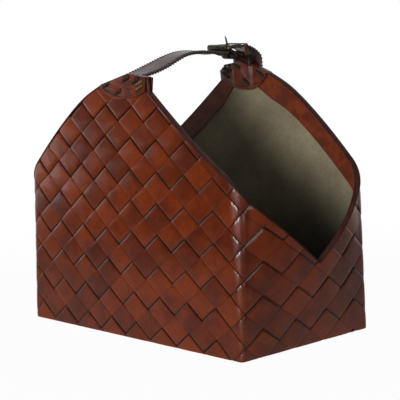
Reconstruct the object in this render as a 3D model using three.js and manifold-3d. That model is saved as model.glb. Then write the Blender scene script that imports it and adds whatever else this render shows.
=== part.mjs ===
// A plaited leather magazine basket with a buckled strap handle.
// Lengths are in millimetres, +Z is up, and the origin is the middle of the underside.
// The two long panels rise to peaks that carry the handle, and a notch dips into each end.
// The rim repeats after half a turn about +Z, so a place along the wall is given by its
// distance from the middle of the front panel, measured round the basket to the right.

import * as THREE from "three";
import { mergeVertices } from "three/addons/utils/BufferGeometryUtils.js";
import Module from "manifold-3d";

// Basket outline
const basketLength = 400;
const basketWidth = 232;
const cornerRadiusLow = 6;
const cornerRadiusHigh = 19;
const cornerRimHeight = 205;
const panelBelly = 4.7;
const panelBellyHeight = 132;
const endBelly = 12;

// Rim: a notch in each end, and a peak on each long panel
const notchHeight = 104;
const notchOffset = 12;
const peakHalfWidth = 44;
const peakStepWidth = 2;
const peakStepHeight = 316;
const frontPeak = { low: 322, crest: 337, high: 333, crestAlong: 9 };
const backPeak = { low: 327, crest: 344, high: 330, crestAlong: 2 };

// How the rim falls from a peak to a notch: share of the way along, share of the drop.
const straightFlankShares = [[0, 0], [0.3, 0.3], [0.51, 0.49], [0.73, 0.725], [1, 1]];
const bowedFlankShares = [[0, 0], [0.14, 0.09], [0.33, 0.275], [0.565, 0.54], [0.76, 0.78], [1, 1]];

// Layers of the wall, from the outside in
const clearance = 0.35;
const plaitThickness = 4;
const liningThickness = 1;
const facingThickness = 1.5;
const facingDrop = 35;
const facingMeetShare = 0.5;
const facingCover = 3;
const bindingThickness = 1.8;
const bindingOverhang = 0.4;
const bindingGap = 1;

// Plait: strips run at a slant both ways, and cross on a lattice of columns and rows that
// are half a crossing apart. Columns count from the left end of the front panel, and the
// first crossing lies a share of a column past it. Rows rise at their own pitch on the long
// sides and on the ends.
const crossingsRound = 25;
const firstCrossingShare = 0.9;
const sideColumnShare = 0.6648;
const cornerBlendShare = 0.08;
const sideRows = { first: 25.5, slope: -0.27, pitch: 19.56 };
const endRows = { first: -13.5, slope: 1.55, pitch: 20.6 };
const plaitRelief = 1.6;
const plaitOverrun = 8;

// Base
const basePanelThickness = 3;
const baseBoardThickness = 3.5;
const floorLiningThickness = 1;

// Tabs that hold the handle on the peaks
const tabThickness = 2.2;
const tabSetBack = 1;
const tabDrop = 32;
// Lower edge of a tab, from its square end round to its pointed end: share of the half width,
// share of the drop from the crest.
const tabEdgeShares = [[1, 0.66], [0.6, 0.86], [0.1, 0.985], [-0.28, 1], [-0.65, 0.86], [-0.93, 0.62], [-1, 0.5]];
const channelSide = 1;
const channelSlope = 3;

// Lacing: flat closed thongs through the tabs and the wall between them
const stitchLength = 13;
const stitchWidth = 3;
const stitchThickness = 1;
const stitchSlant = THREE.MathUtils.degToRad(28);
// Middle of each stitch: share of the tab's half width, share of the drop from the crest.
// The shallow one passes between the wall and the strap.
const shallowStitch = 2;
const stitchShares = [[-0.744, 0.47], [-0.186, 0.72], [0.14, 0.2], [0.56, 0.25], [0.744, 0.36], [0.744, 0.53]];

// Handle strap
const strapWidth = 34;
const strapThickness = 3;
const strapEndDrop = 34;
const strapBendDrop = 16;
const strapTwist = THREE.MathUtils.degToRad(6);
const strapTipDrop = 42;
const strapTipLength = 16;
const strapRise = 19;
const tipRoundShare = 0.94;
const twistRunShare = 0.5;
const strapHoleWidth = 4;
const strapHoleLength = 6.5;
const strapHolePitch = 23;
const strapHoleCount = 3;
const strapHoleSetBack = 0.7;
// The bend out of the front peak, in strap thicknesses inwards and upwards.
const bendShares = [[0.93, 2.7], [2.37, 4.03]];
// The free arc of the handle from the front peak to the roller: share of the run,
// share of the rise.
const handleRise = 26;
const handleArcShares = [
  [0.06, 0.09], [0.166, 0.25], [0.298, 0.488], [0.43, 0.765],
  [0.55, 0.946], [0.682, 1], [0.815, 0.954], [0.934, 0.89],
];
const rollerRiseShare = 0.885;
// The level run past the roller: distance from the roller as a share of the bend round it,
// drop in strap thicknesses.
const wrapDegrees = [-90, -60, -30, -5];
const levelRunShares = [[1.45, 0.175], [2.2, 0], [4.4, 0], [6.4, 0.4], [8.2, 1.9]];
// The way down outside the back peak, in strap thicknesses outwards and downwards.
const tipFallShares = [[0.22, 3.2], [2.2, 5.4], [2.42, 9]];
const tipBulgeShare = 1.1;

// Buckle
const rodRadius = 1.7;
const rollerRadius = 4.2;
const rollerGap = 0.6;
const frameLength = 25;
const frameRearSetBack = 35;
const frameRearDrop = 11.8;
const frameCornerRadius = 2.2;
const frameBowShare = 1.7;
const frameSideGap = 1;
const prongRadius = 1.25;
const prongExitReach = 6.6;
const prongTipReach = 11.6;
const prongTipRise = 25.6;
const prongEyeStart = 190;
const prongEyeEnd = 400;
const prongEyeStep = 30;
const prongTipShare = 0.35;
const prongTaperShare = 0.1;

// Folded strap that carries the buckle, and the keeper sewn into its fold
const foldThickness = 3.6;
const foldWidth = 30;
const foldEndDrop = 33;
const foldDegrees = [-90, -135, 180, 135, 90];
const foldEndShare = 0.62;
const foldLevelShare = 0.3;
const foldTurnShare = 0.62;
const foldSagShare = 0.25;
const foldLeaveShare = 0.6;
const slotWidth = 4.6;
const keeperThickness = 1.6;
const keeperDepth = 7.6;
const keeperSetBack = 3.8;

// How much longer a cutter is than what it cuts through.
const cutterShare = 2;

// Fineness of the curved forms
const wallRows = 3;
const longestColumn = 40;
const cornerShares = [-1, -0.6, -0.2, 0.2, 0.6, 1];
const smallestEdge = 1e-6;
const rodSides = 8;
const rollerSides = 16;
const arcSteps = 3;
const handleSteps = 54;
const foldSteps = 26;
const prongSteps = 17;

const halfLength = basketLength / 2;
const halfWidth = basketWidth / 2;
const halfTurn = basketLength + basketWidth;
const notchAlong = halfLength + halfWidth + notchOffset;
const liningInset = plaitThickness + clearance;
const facingInset = liningInset + liningThickness + clearance;
const stackInset = facingInset + facingThickness;
const tabHalfWidth = peakHalfWidth - tabSetBack;
const tabBottomHeight = frontPeak.crest - tabDrop;
const strapEndHeight = frontPeak.crest - strapEndDrop;
const strapBendHeight = frontPeak.crest - strapBendDrop;
const strapTipHeight = backPeak.crest - strapTipDrop;
const strapLift = backPeak.crest + strapRise;
const foldEndHeight = backPeak.crest - foldEndDrop;
const frameRearY = halfWidth - frameRearSetBack;
const frameRearZ = strapLift - frameRearDrop;
const rollerY = frameRearY - frameLength;
const frameHalfWidth = strapWidth / 2 + frameSideGap + rodRadius;
const foldWrap = rodRadius + clearance + foldThickness / 2;
const prongExit = new THREE.Vector2(frameRearY - prongExitReach, strapLift);
const prongTip = new THREE.Vector2(frameRearY - prongTipReach, frameRearZ + prongTipRise);

const wasm = await Module();
wasm.setup();

const basket = new THREE.Group();

const leatherLook = { roughness: 0.42, metalness: 0 };
const materials = {
  plait: { color: 0x8a3a1c, ...leatherLook },
  trim: { color: 0x5a2416, ...leatherLook },
  strap: { color: 0x4e2a24, ...leatherLook },
  lacing: { color: 0x4a3c22, ...leatherLook },
  lining: { color: 0x6e6654, roughness: 0.95, metalness: 0 },
  board: { color: 0x8d7a5c, roughness: 0.9, metalness: 0 },
  metal: { color: 0x5c5244, roughness: 0.38, metalness: 0.9 },
};

function addPart(name, geometry, finish) {
  const mesh = new THREE.Mesh(geometry, new THREE.MeshStandardMaterial(materials[finish]));
  mesh.name = name;
  basket.add(mesh);
  return mesh;
}

// Solids from rows of points

function signedVolume(points, triangles) {
  let sum = 0;
  const across = new THREE.Vector3();
  for (const [a, b, c] of triangles) {
    across.crossVectors(points[b], points[c]);
    sum += points[a].dot(across);
  }
  return sum;
}

// Faces that have shrunk to a line, where two points of a ring meet, are left out.
function solidFrom(points, allTriangles) {
  const apart = (a, b) => points[a].distanceTo(points[b]) > smallestEdge;
  const triangles = allTriangles.filter(([a, b, c]) => apart(a, b) && apart(b, c) && apart(c, a));
  const outwards = signedVolume(points, triangles) > 0;
  const index = triangles.flatMap(([a, b, c]) => (outwards ? [a, b, c] : [a, c, b]));
  const geometry = new THREE.BufferGeometry().setFromPoints(points);
  geometry.setIndex(index);
  return geometry;
}

// Joins rings of points one after the other. An open run is capped at both ends,
// and a closed one returns to its first ring. The second half of a ring is split along the
// other diagonal, so that the two faces of a layer bend alike, unless a rule is given.
function loft(rings, closed, risesWith = (i, j, size) => j < size / 2) {
  const size = rings[0].length;
  const points = rings.flat();
  const triangles = [];
  const spans = closed ? rings.length : rings.length - 1;
  for (let i = 0; i < spans; i += 1) {
    const here = i * size;
    const there = ((i + 1) % rings.length) * size;
    for (let j = 0; j < size; j += 1) {
      const next = (j + 1) % size;
      const [near, far] = risesWith(i, j, size) ? [j, next] : [next, j];
      triangles.push([here + j, here + next, there + far]);
      triangles.push([here + near, there + next, there + j]);
    }
  }
  if (!closed) {
    const last = (rings.length - 1) * size;
    for (let j = 1; j < size - 1; j += 1) {
      triangles.push([0, j + 1, j]);
      triangles.push([last, last + j, last + j + 1]);
    }
  }
  return solidFrom(points, triangles);
}

function toSolid(geometry) {
  const bare = geometry.clone();
  bare.deleteAttribute("normal");
  bare.deleteAttribute("uv");
  const merged = mergeVertices(bare);
  return new wasm.Manifold(
    new wasm.Mesh({
      numProp: 3,
      vertProperties: merged.attributes.position.array,
      triVerts: new Uint32Array(merged.index.array),
    }),
  );
}

function toGeometry(solid) {
  const mesh = solid.getMesh();
  const geometry = new THREE.BufferGeometry();
  geometry.setAttribute("position", new THREE.BufferAttribute(mesh.vertProperties, mesh.numProp));
  geometry.setIndex(new THREE.BufferAttribute(mesh.triVerts, 1));
  return geometry;
}

function cutAway(geometry, cutters) {
  let solid = toSolid(geometry);
  for (const cutter of cutters) {
    solid = solid.subtract(toSolid(cutter));
  }
  return toGeometry(solid);
}

// The wall's surface

function cornerRadius(height) {
  const share = Math.min(height / cornerRimHeight, 1);
  return cornerRadiusLow + (cornerRadiusHigh - cornerRadiusLow) * share;
}

// The long panels swell outwards low down and draw in towards the peaks.
function panelSwell(height) {
  return panelBelly * (1 - ((height - panelBellyHeight) / panelBellyHeight) ** 2);
}

function endSwell(height) {
  return (endBelly * height) / notchHeight;
}

function wallPoint(along, height, inset) {
  const turn = Math.round(along / halfTurn);
  const run = along - turn * halfTurn;
  const distance = Math.abs(run);
  const radius = cornerRadius(height);
  const straight = halfLength - radius;
  let x = distance;
  let y = -halfWidth;
  if (distance <= straight) {
    y += inset - panelSwell(height) * (1 - (distance / straight) ** 2);
  } else if (distance < halfLength + radius) {
    const angle = ((distance - straight) / radius) * (Math.PI / 4);
    x = straight + (radius - inset) * Math.sin(angle);
    y += radius - (radius - inset) * Math.cos(angle);
  } else {
    const fromMiddle = halfLength + halfWidth - distance;
    x = halfLength + endSwell(height) * (1 - (fromMiddle / (halfWidth - radius)) ** 2) - inset;
    y = -fromMiddle;
  }
  const mirror = run < 0 ? -1 : 1;
  const facing = turn % 2 === 0 ? 1 : -1;
  return new THREE.Vector3(facing * mirror * x, facing * y, height);
}

// The rim's height

function flank(fromAlong, fromHeight, toAlong, shares) {
  const drop = fromHeight - notchHeight;
  const points = shares.map(([way, fall]) => {
    const along = fromAlong + (toAlong - fromAlong) * way;
    return new THREE.Vector2(along, fromHeight - drop * fall);
  });
  return new THREE.SplineCurve(points).getPoints(points.length * arcSteps);
}

function rimOutline(peak) {
  const outer = peakHalfWidth + peakStepWidth;
  const bowed = flank(-outer, peak.low, notchAlong - halfTurn, bowedFlankShares).reverse();
  const top = [
    new THREE.Vector2(-peakHalfWidth, peak.low),
    new THREE.Vector2(peak.crestAlong, peak.crest),
    new THREE.Vector2(peakHalfWidth, peak.high),
  ];
  return [...bowed, ...top, ...flank(outer, peakStepHeight, notchAlong, straightFlankShares)];
}

const rimOutlines = [rimOutline(frontPeak), rimOutline(backPeak)];

function heightOn(outline, run) {
  const last = outline.length - 1;
  const next = outline.findIndex((point) => point.x >= run);
  if (next <= 0) {
    return next === 0 ? outline[0].y : outline[last].y;
  }
  const a = outline[next - 1];
  const b = outline[next];
  return THREE.MathUtils.mapLinear(run, a.x, b.x, a.y, b.y);
}

function panelOf(along) {
  const turn = Math.ceil((along - notchAlong) / halfTurn);
  return { run: along - turn * halfTurn, back: Math.abs(turn % 2) };
}

function rimHeight(along) {
  const { run, back } = panelOf(along);
  return heightOn(rimOutlines[back], run);
}

// The binding covers the rim on the flanks, and leaves the tops of the peaks to the tabs.
function wallTop(along) {
  const onPeak = Math.abs(panelOf(along).run) <= peakHalfWidth;
  return rimHeight(along) - (onPeak ? 0 : bindingThickness + bindingGap);
}

// The facing's lower edge keeps its drop on the flanks. Under a peak both sides rise further
// and meet behind the inner tab, a little above the tab's lowest point.
function facingBottom(along) {
  const { run, back } = panelOf(along);
  const outer = peakHalfWidth + peakStepWidth;
  const outline = rimOutlines[back];
  const distance = Math.abs(run);
  if (distance >= outer) {
    return heightOn(outline, run) - facingDrop;
  }
  const low = heightOn(outline, run < 0 ? -outer : outer) - facingDrop;
  const inwards = Math.min((outer - distance) / (outer - facingMeetShare * tabHalfWidth), 1);
  return THREE.MathUtils.lerp(low, tabBottomHeight + facingCover, inwards);
}

// Places along one panel where the wall gets a column of points.
function panelColumns(peak) {
  const outer = peakHalfWidth + peakStepWidth;
  const fixed = [notchAlong - halfTurn, -outer, -peakHalfWidth, peak.crestAlong, peakHalfWidth, outer];
  for (const share of cornerShares) {
    fixed.push(-halfLength + share * cornerRadiusHigh, halfLength - share * cornerRadiusHigh);
  }
  fixed.push(notchAlong);
  fixed.sort((a, b) => a - b);
  const columns = [];
  for (let i = 0; i < fixed.length - 1; i += 1) {
    const steps = Math.ceil((fixed[i + 1] - fixed[i]) / longestColumn);
    for (let j = 0; j < steps; j += 1) {
      columns.push(THREE.MathUtils.mapLinear(j, 0, steps, fixed[i], fixed[i + 1]));
    }
  }
  return columns;
}

const frontColumns = panelColumns(frontPeak);
const backColumns = panelColumns(backPeak).map((along) => along + halfTurn);
const nextFrontColumns = frontColumns.map((along) => along + 2 * halfTurn);
const allColumns = [...frontColumns, ...backColumns];

// A ring round a layer of the wall at one column: up its outer face and down its inner one.
function layerRing(along, insets, heights) {
  const outer = heights.map((height) => wallPoint(along, height, insets[0]));
  const inner = heights.map((height) => wallPoint(along, height, insets[1]));
  return [...outer, ...inner.reverse()];
}

// A closed layer of the wall. All layers share their columns, and rows that end at the
// facing's lower edge, so they lie evenly on each other. The rows below a layer's own bottom
// draw together there.
function wallLayer(insets, bottomAt) {
  const rings = allColumns.map((along) => {
    const split = facingBottom(along);
    const heights = [];
    for (let row = 0; row <= wallRows; row += 1) {
      heights.push(Math.max((split * row) / wallRows, bottomAt(along)));
    }
    return layerRing(along, insets, [...heights, wallTop(along)]);
  });
  return loft(rings, true);
}

// Plait

const sideColumns = crossingsRound * sideColumnShare;
const endColumns = crossingsRound - sideColumns;

// A column's place along the wall: the turn that it lies in, and its distance into that turn.
function inTurn(column) {
  const turn = Math.floor(column / crossingsRound);
  return { turn, past: column - turn * crossingsRound };
}

function columnAlong(column) {
  const { turn, past } = inTurn(column);
  const onSide = -halfLength + (past * basketLength) / sideColumns;
  const onEnd = halfLength + ((past - sideColumns) * basketWidth) / endColumns;
  return turn * halfTurn + (past < sideColumns ? onSide : onEnd);
}

// How far the rows follow the ends' pitch here: none on a long side, all on an end.
function endShare(past) {
  const blend = cornerBlendShare * crossingsRound;
  const into = THREE.MathUtils.smoothstep(past, sideColumns - blend, sideColumns + blend);
  const out = THREE.MathUtils.smoothstep(past, crossingsRound - blend, crossingsRound + blend);
  const before = THREE.MathUtils.smoothstep(past, -blend, blend);
  return into - out + (1 - before);
}

// Near a turn's start the end's rows are those of the end before it, and past the middle of
// an end the side's rows are those of the side after it.
function rowHeight(column, row) {
  const { past } = inTurn(column);
  const alongSide = past > (sideColumns + crossingsRound) / 2 ? past - crossingsRound : past;
  const alongEnd = past < sideColumns / 2 ? past + crossingsRound : past;
  const side = sideRows.first + sideRows.slope * alongSide + sideRows.pitch * row;
  const end = endRows.first + endRows.slope * alongEnd + endRows.pitch * row;
  return THREE.MathUtils.lerp(side, end, endShare(past));
}

// How deep the surface lies at a place on the lattice: nothing in the middle of a crossing,
// the whole relief on its four edges.
function reliefAt(column, row) {
  const past = column - firstCrossingShare;
  const edges = [past + row, row - past].map((sum) => {
    const across = sum / 2 - Math.floor(sum / 2);
    return Math.abs(2 * across - 1);
  });
  return plaitRelief * Math.max(...edges) ** 2;
}

// Columns lie at half steps of the lattice, and in the middle of the corners that these miss.
function latticeColumns() {
  const steps = 2 * 2 * crossingsRound;
  const columns = [sideColumns, crossingsRound + sideColumns];
  for (let step = 0; step < steps; step += 1) {
    columns.push((firstCrossingShare + step / 2) % (2 * crossingsRound));
  }
  return columns.sort((a, b) => a - b);
}

// The plait as a thick band with its relief outside, taller than the wall. Its faces are
// split along the edges of the crossings.
function plaitBand() {
  const columns = latticeColumns();
  const rings = columns.map((column) => {
    const outer = [];
    const inner = [];
    for (let row = -2; rowHeight(column, row - 1) < backPeak.crest + plaitOverrun; row += 1 / 2) {
      const height = rowHeight(column, row);
      outer.push(wallPoint(columnAlong(column), height, reliefAt(column, row)));
      inner.push(wallPoint(columnAlong(column), height, plaitOverrun));
    }
    return { outer, inner };
  });
  const rows = Math.min(...rings.map(({ outer }) => outer.length));
  const closed = rings.map(({ outer, inner }) => [...outer.slice(0, rows), ...inner.slice(0, rows).reverse()]);
  const halfSteps = columns.map((column) => Math.floor(2 * (column - firstCrossingShare) + smallestEdge));
  return loft(closed, true, (i, j) => (halfSteps[i] + j) % 2 === 0);
}

function wovenShell() {
  const wall = toSolid(wallLayer([-plaitOverrun, plaitThickness], () => 0));
  return toGeometry(wall.intersect(toSolid(plaitBand())));
}

function wallLining() {
  const bottom = basePanelThickness + clearance;
  return wallLayer([liningInset, liningInset + liningThickness], () => bottom);
}

function rimFacing() {
  return wallLayer([facingInset, stackInset], facingBottom);
}

// One binding runs from the step of a peak, through a notch, to the next peak.
function rimBinding(peakAlong) {
  const outer = peakHalfWidth + peakStepWidth;
  const from = peakAlong + outer;
  const to = peakAlong + halfTurn - outer;
  const columns = [...allColumns, ...nextFrontColumns].filter((along) => along >= from && along <= to);
  const insets = [-bindingOverhang, stackInset + bindingOverhang];
  const rings = columns.map((along) => {
    const top = rimHeight(along);
    return layerRing(along, insets, [top - bindingThickness, top]);
  });
  return loft(rings, false);
}

// Base: flat sheets cut to the inside of the wall

function baseSheet(bottom, thickness, inset) {
  const outline = allColumns.map((along) => wallPoint(along, bottom, inset));
  const shape = new THREE.Shape(outline.map((point) => new THREE.Vector2(point.x, point.y)));
  const geometry = new THREE.ExtrudeGeometry(shape, { depth: thickness, bevelEnabled: false });
  geometry.translate(0, 0, bottom);
  return geometry;
}

// Peaks: each is worked out in a plane that leans with the wall. There, out of the plane is
// towards the inside of the basket, and a point is placed by its depth and its height.

const tabMiddleHeight = (tabBottomHeight + frontPeak.crest) / 2;
const peakLean = Math.atan2(
  wallPoint(0, frontPeak.crest, 0).y - wallPoint(0, tabBottomHeight, 0).y,
  frontPeak.crest - tabBottomHeight,
);

function peakPoint(x, depth, height) {
  const rise = height - tabMiddleHeight;
  const y = wallPoint(0, tabMiddleHeight, 0).y + depth * Math.cos(peakLean) + rise * Math.sin(peakLean);
  return new THREE.Vector3(x, y, height - depth * Math.sin(peakLean));
}

// How far the wall stands past the leaning plane, outwards or inwards, under a tab.
function wallReach(inset, outwards) {
  let reach = 0;
  for (const x of [0, tabHalfWidth / 2, tabHalfWidth]) {
    for (const height of [tabBottomHeight, tabMiddleHeight, backPeak.crest]) {
      const past = wallPoint(x, height, inset).y - peakPoint(x, inset, height).y;
      reach = Math.max(reach, outwards ? -past : past);
    }
  }
  return reach;
}

const outerStandOff = wallReach(0, true) + clearance;
const innerStandOff = stackInset + wallReach(stackInset, false) + clearance;

function tabShape(peak) {
  const drop = peak.crest - tabBottomHeight;
  const edge = tabEdgeShares.map(
    ([side, fall]) => new THREE.Vector2(side * tabHalfWidth, peak.crest - fall * drop),
  );
  const shape = new THREE.Shape();
  shape.moveTo(-tabHalfWidth, peak.low);
  shape.lineTo(edge[edge.length - 1].x, edge[edge.length - 1].y);
  shape.splineThru(edge.slice(0, -1).reverse());
  shape.lineTo(tabHalfWidth, peak.high);
  shape.lineTo(peak.crestAlong, peak.crest);
  return shape;
}

// Turns a plate drawn upright, with its outer face at y = 0, into the peak's leaning plane.
function leanIntoPeak(geometry, depth) {
  const position = geometry.attributes.position;
  for (let i = 0; i < position.count; i += 1) {
    const point = peakPoint(position.getX(i), depth + position.getY(i), position.getZ(i));
    position.setXYZ(i, point.x, point.y, point.z);
  }
  return geometry;
}

function tabPrism(peak, depth) {
  const options = { depth, bevelEnabled: false, curveSegments: arcSteps };
  const geometry = new THREE.ExtrudeGeometry(tabShape(peak), options);
  geometry.rotateX(Math.PI / 2);
  geometry.translate(0, depth, 0);
  return geometry;
}

function outerTab(peak) {
  return leanIntoPeak(tabPrism(peak, tabThickness), -outerStandOff - tabThickness);
}

// The inner tab lies on the facing and bridges the strap end that it holds. A notch in its
// top edge lets a strap out that bends away below the crest.
function innerTab(peak, heldWidth, heldThickness, leaveHeight) {
  const rise = heldThickness + clearance;
  const flat = heldWidth / 2 + channelSide;
  const foot = flat + channelSlope;
  const corners = [[-tabHalfWidth, 0], [-foot, 0], [-flat, rise], [flat, rise], [foot, 0], [tabHalfWidth, 0]];
  const upper = corners.map(([x, y]) => new THREE.Vector2(x, y + tabThickness)).reverse();
  const lower = corners.map(([x, y]) => new THREE.Vector2(x, y));
  const profile = new THREE.Shape([...lower, ...upper]);
  const height = backPeak.crest - tabBottomHeight;
  const bridge = new THREE.ExtrudeGeometry(profile, { depth: height, bevelEnabled: false });
  bridge.translate(0, 0, tabBottomHeight);
  const outline = tabPrism(peak, rise + tabThickness);
  const notch = new THREE.BoxGeometry(2 * foot, cutterShare * 2 * (rise + tabThickness), 2 * height);
  notch.translate(0, 0, leaveHeight + height);
  const bridged = toGeometry(toSolid(bridge).intersect(toSolid(outline)));
  return leanIntoPeak(cutAway(bridged, [notch]), innerStandOff);
}

// Lacing

// How far the inner tab stands off where a stitch nears the strap that it bridges.
function bridgeRise(middle, heldWidth, heldThickness) {
  const nearest = Math.abs(middle) - (stitchLength * Math.cos(stitchSlant)) / 2;
  const flat = heldWidth / 2 + channelSide;
  return nearest > flat + channelSlope ? 0 : heldThickness + clearance;
}

// Where each stitch of a peak lies, and how far it reaches to either side of the wall.
function stitchPlaces(peak, heldWidth, heldThickness) {
  return stitchShares.map(([side, fall], i) => {
    const x = side * tabHalfWidth;
    const height = peak.crest - fall * (peak.crest - tabBottomHeight);
    const shallow = peak === frontPeak && i === shallowStitch;
    const bridge = tabThickness + clearance + bridgeRise(x, heldWidth, heldThickness);
    const outer = outerStandOff + tabThickness + clearance;
    return { x, height, outer, inner: innerStandOff + (shallow ? 0 : bridge) };
  });
}

// Places a box or an outline drawn along X and depth at a stitch, slanted in its peak.
function slantIntoPeak(geometry, place) {
  geometry.rotateY(-stitchSlant);
  geometry.translate(place.x, 0, place.height);
  return leanIntoPeak(geometry, 0);
}

// A thong's outline seen along its width: a rectangle round the layers, with cut corners.
function stitchRing(place) {
  const half = stitchLength / 2;
  const low = -place.outer - stitchThickness;
  const high = place.inner + stitchThickness;
  const inside = half - stitchThickness;
  const cut = stitchThickness / 2;
  const right = [[half - cut, low], [half, low + cut], [half, high - cut], [half - cut, high]];
  const left = right.map(([x, y]) => [-x, y]).reverse();
  const hole = [[-inside, -place.outer], [inside, -place.outer], [inside, place.inner], [-inside, place.inner]];
  const shape = new THREE.Shape([...right, ...left].map(([x, y]) => new THREE.Vector2(x, y)));
  shape.holes.push(new THREE.Path(hole.map(([x, y]) => new THREE.Vector2(x, y))));
  const ring = new THREE.ExtrudeGeometry(shape, { depth: stitchWidth, bevelEnabled: false });
  ring.translate(0, 0, -stitchWidth / 2);
  return slantIntoPeak(ring, place);
}

function stitchCut(place, along, length) {
  const depth = place.outer + place.inner + 2 * cutterShare * stitchThickness;
  const hole = new THREE.BoxGeometry(length + 2 * clearance, depth, stitchWidth + 2 * clearance);
  hole.translate(along, (place.inner - place.outer) / 2, 0);
  return slantIntoPeak(hole, place);
}

// A stitch passes through two holes in the leather, and one slit in the soft layers.
function stitchHoles(place) {
  const offset = (stitchLength - stitchThickness) / 2;
  return [-offset, offset].map((along) => stitchCut(place, along, stitchThickness));
}

function stitchSlit(place) {
  return stitchCut(place, 0, stitchLength);
}

// Turns a piece of the front peak round to the back peak.
function turnedToBack(geometry) {
  return geometry.rotateZ(Math.PI);
}

// Straps: a flat section carried along a curve in the middle plane of the basket

function strapRing(point, tangent, width, thickness, twist) {
  const up = new THREE.Vector3(0, -tangent.y, tangent.x);
  const across = new THREE.Vector3(1, 0, 0);
  const forward = new THREE.Vector3(0, tangent.x, tangent.y);
  up.applyAxisAngle(forward, twist);
  across.applyAxisAngle(forward, twist);
  const centre = new THREE.Vector3(0, point.x, point.y);
  const corners = [[-1, -1], [1, -1], [1, 1], [-1, 1]];
  return corners.map(([side, face]) =>
    centre
      .clone()
      .addScaledVector(across, (side * width) / 2)
      .addScaledVector(up, (face * thickness) / 2),
  );
}

// The rings follow the curve's own points, so they lie closer in its tighter bends.
function sweepStrap(curve, steps, widthAt, thickness, twistAt) {
  const rings = [];
  for (let i = 0; i <= steps; i += 1) {
    const point = curve.getPoint(i / steps);
    const tangent = curve.getTangent(i / steps);
    rings.push(strapRing(point, tangent, widthAt(point), thickness, twistAt(point)));
  }
  return loft(rings, false);
}

function inMiddlePlane(point) {
  return new THREE.Vector2(point.y, point.z);
}

const strapHalf = strapThickness / 2;
const handleStart = heldInFront(strapThickness, strapBendHeight);
const bend = bendShares.map(
  ([inwards, upwards]) =>
    new THREE.Vector2(handleStart.x + inwards * strapThickness, handleStart.y + upwards * strapThickness),
);
const arcStart = bend[bend.length - 1];
const rollerZ = arcStart.y + handleRise * rollerRiseShare + strapHalf + rollerGap + rollerRadius;
const rollerWrap = rollerRadius + rollerGap + strapHalf;

// The middle line of a strap that is held between the facing and the front inner tab.
function heldInFront(thickness, height) {
  return inMiddlePlane(peakPoint(0, innerStandOff + thickness / 2, height));
}

// A point on the back peak, at a depth inside its wall or, if negative, outside it.
function onBackPeak(depth, height) {
  const point = peakPoint(0, depth, height);
  return new THREE.Vector2(-point.y, point.z);
}

function aroundAxis(y, z, radius, degrees) {
  const angle = THREE.MathUtils.degToRad(degrees);
  return new THREE.Vector2(y + radius * Math.cos(angle), z + radius * Math.sin(angle));
}

function handleCurve() {
  const run = rollerY - arcStart.x;
  const arc = handleArcShares.map(
    ([way, rise]) => new THREE.Vector2(arcStart.x + run * way, arcStart.y + handleRise * rise),
  );
  const roundRoller = wrapDegrees.map((degrees) => aroundAxis(rollerY, rollerZ, rollerWrap, degrees));
  const levelRun = levelRunShares.map(
    ([way, drop]) => new THREE.Vector2(rollerY + way * rollerWrap, strapLift - drop * strapThickness),
  );
  const outside = outerStandOff + tabThickness + clearance + strapHalf;
  const wayDown = tipFallShares.map(([outwards, drop]) =>
    onBackPeak(-outside - outwards * strapThickness, strapLift - drop * strapThickness),
  );
  return new THREE.SplineCurve([
    heldInFront(strapThickness, strapEndHeight),
    heldInFront(strapThickness, (strapEndHeight + strapBendHeight) / 2),
    handleStart,
    ...bend,
    ...arc,
    ...roundRoller,
    ...levelRun,
    ...wayDown,
    onBackPeak(-outside - tipBulgeShare * strapThickness, (backPeak.low + strapTipHeight) / 2),
    onBackPeak(-outside, strapTipHeight),
  ]);
}

const handlePath = handleCurve();

// The tip narrows to a half round over its last stretch.
function handleWidthAt(point) {
  const left = point.distanceTo(handlePath.getPoint(1));
  const past = 1 - Math.min(left / strapTipLength, 1);
  return strapWidth * Math.sqrt(1 - (past * tipRoundShare) ** 2);
}

// The strap leaves the slanting front peak with a slight twist that dies out along the arc.
function handleTwistAt(point) {
  const run = (rollerY - arcStart.x) * twistRunShare;
  const past = THREE.MathUtils.clamp((point.x - arcStart.x) / run, 0, 1);
  return strapTwist * Math.sin(past * Math.PI);
}

function handleShareAt(y) {
  const steps = handleSteps * handleSteps;
  let step = 0;
  while (step < steps && handlePath.getPointAt(step / steps).x < y) {
    step += 1;
  }
  return step / steps;
}

function strapHole(share) {
  const point = handlePath.getPointAt(share);
  const tangent = handlePath.getTangentAt(share);
  const hole = new THREE.CylinderGeometry(1, 1, cutterShare * strapThickness, rodSides);
  hole.scale(strapHoleWidth / 2, 1, strapHoleLength / 2);
  hole.rotateX(Math.PI / 2 + Math.atan2(tangent.y, tangent.x));
  hole.translate(0, point.x, point.y);
  return hole;
}

// The prong leans on the near edge of the first hole, so the hole's middle lies behind it.
function handleStrap() {
  const strap = sweepStrap(handlePath, handleSteps, handleWidthAt, strapThickness, handleTwistAt);
  const first = handleShareAt(prongExit.x + strapHoleSetBack);
  const holes = [];
  for (let i = 0; i < strapHoleCount; i += 1) {
    holes.push(strapHole(first + (i * strapHolePitch) / handlePath.getLength()));
  }
  return cutAway(strap, holes);
}

// Buckle: a bowed frame of round rod, with a roller on its front bar and a prong on its rear bar

function rodRing(point, tangent, radius) {
  const side = new THREE.Vector3(0, 0, 1).cross(tangent).normalize();
  const up = tangent.clone().cross(side);
  const ring = [];
  for (let i = 0; i < rodSides; i += 1) {
    const angle = (i / rodSides) * Math.PI * 2;
    const offset = side.clone().multiplyScalar(Math.cos(angle)).addScaledVector(up, Math.sin(angle));
    ring.push(point.clone().addScaledVector(offset, radius));
  }
  return ring;
}

function sideBarHeight(y) {
  const share = (frameRearY - y) / frameLength;
  return frameRearZ + (rollerZ - frameRearZ) * share ** frameBowShare;
}

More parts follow.
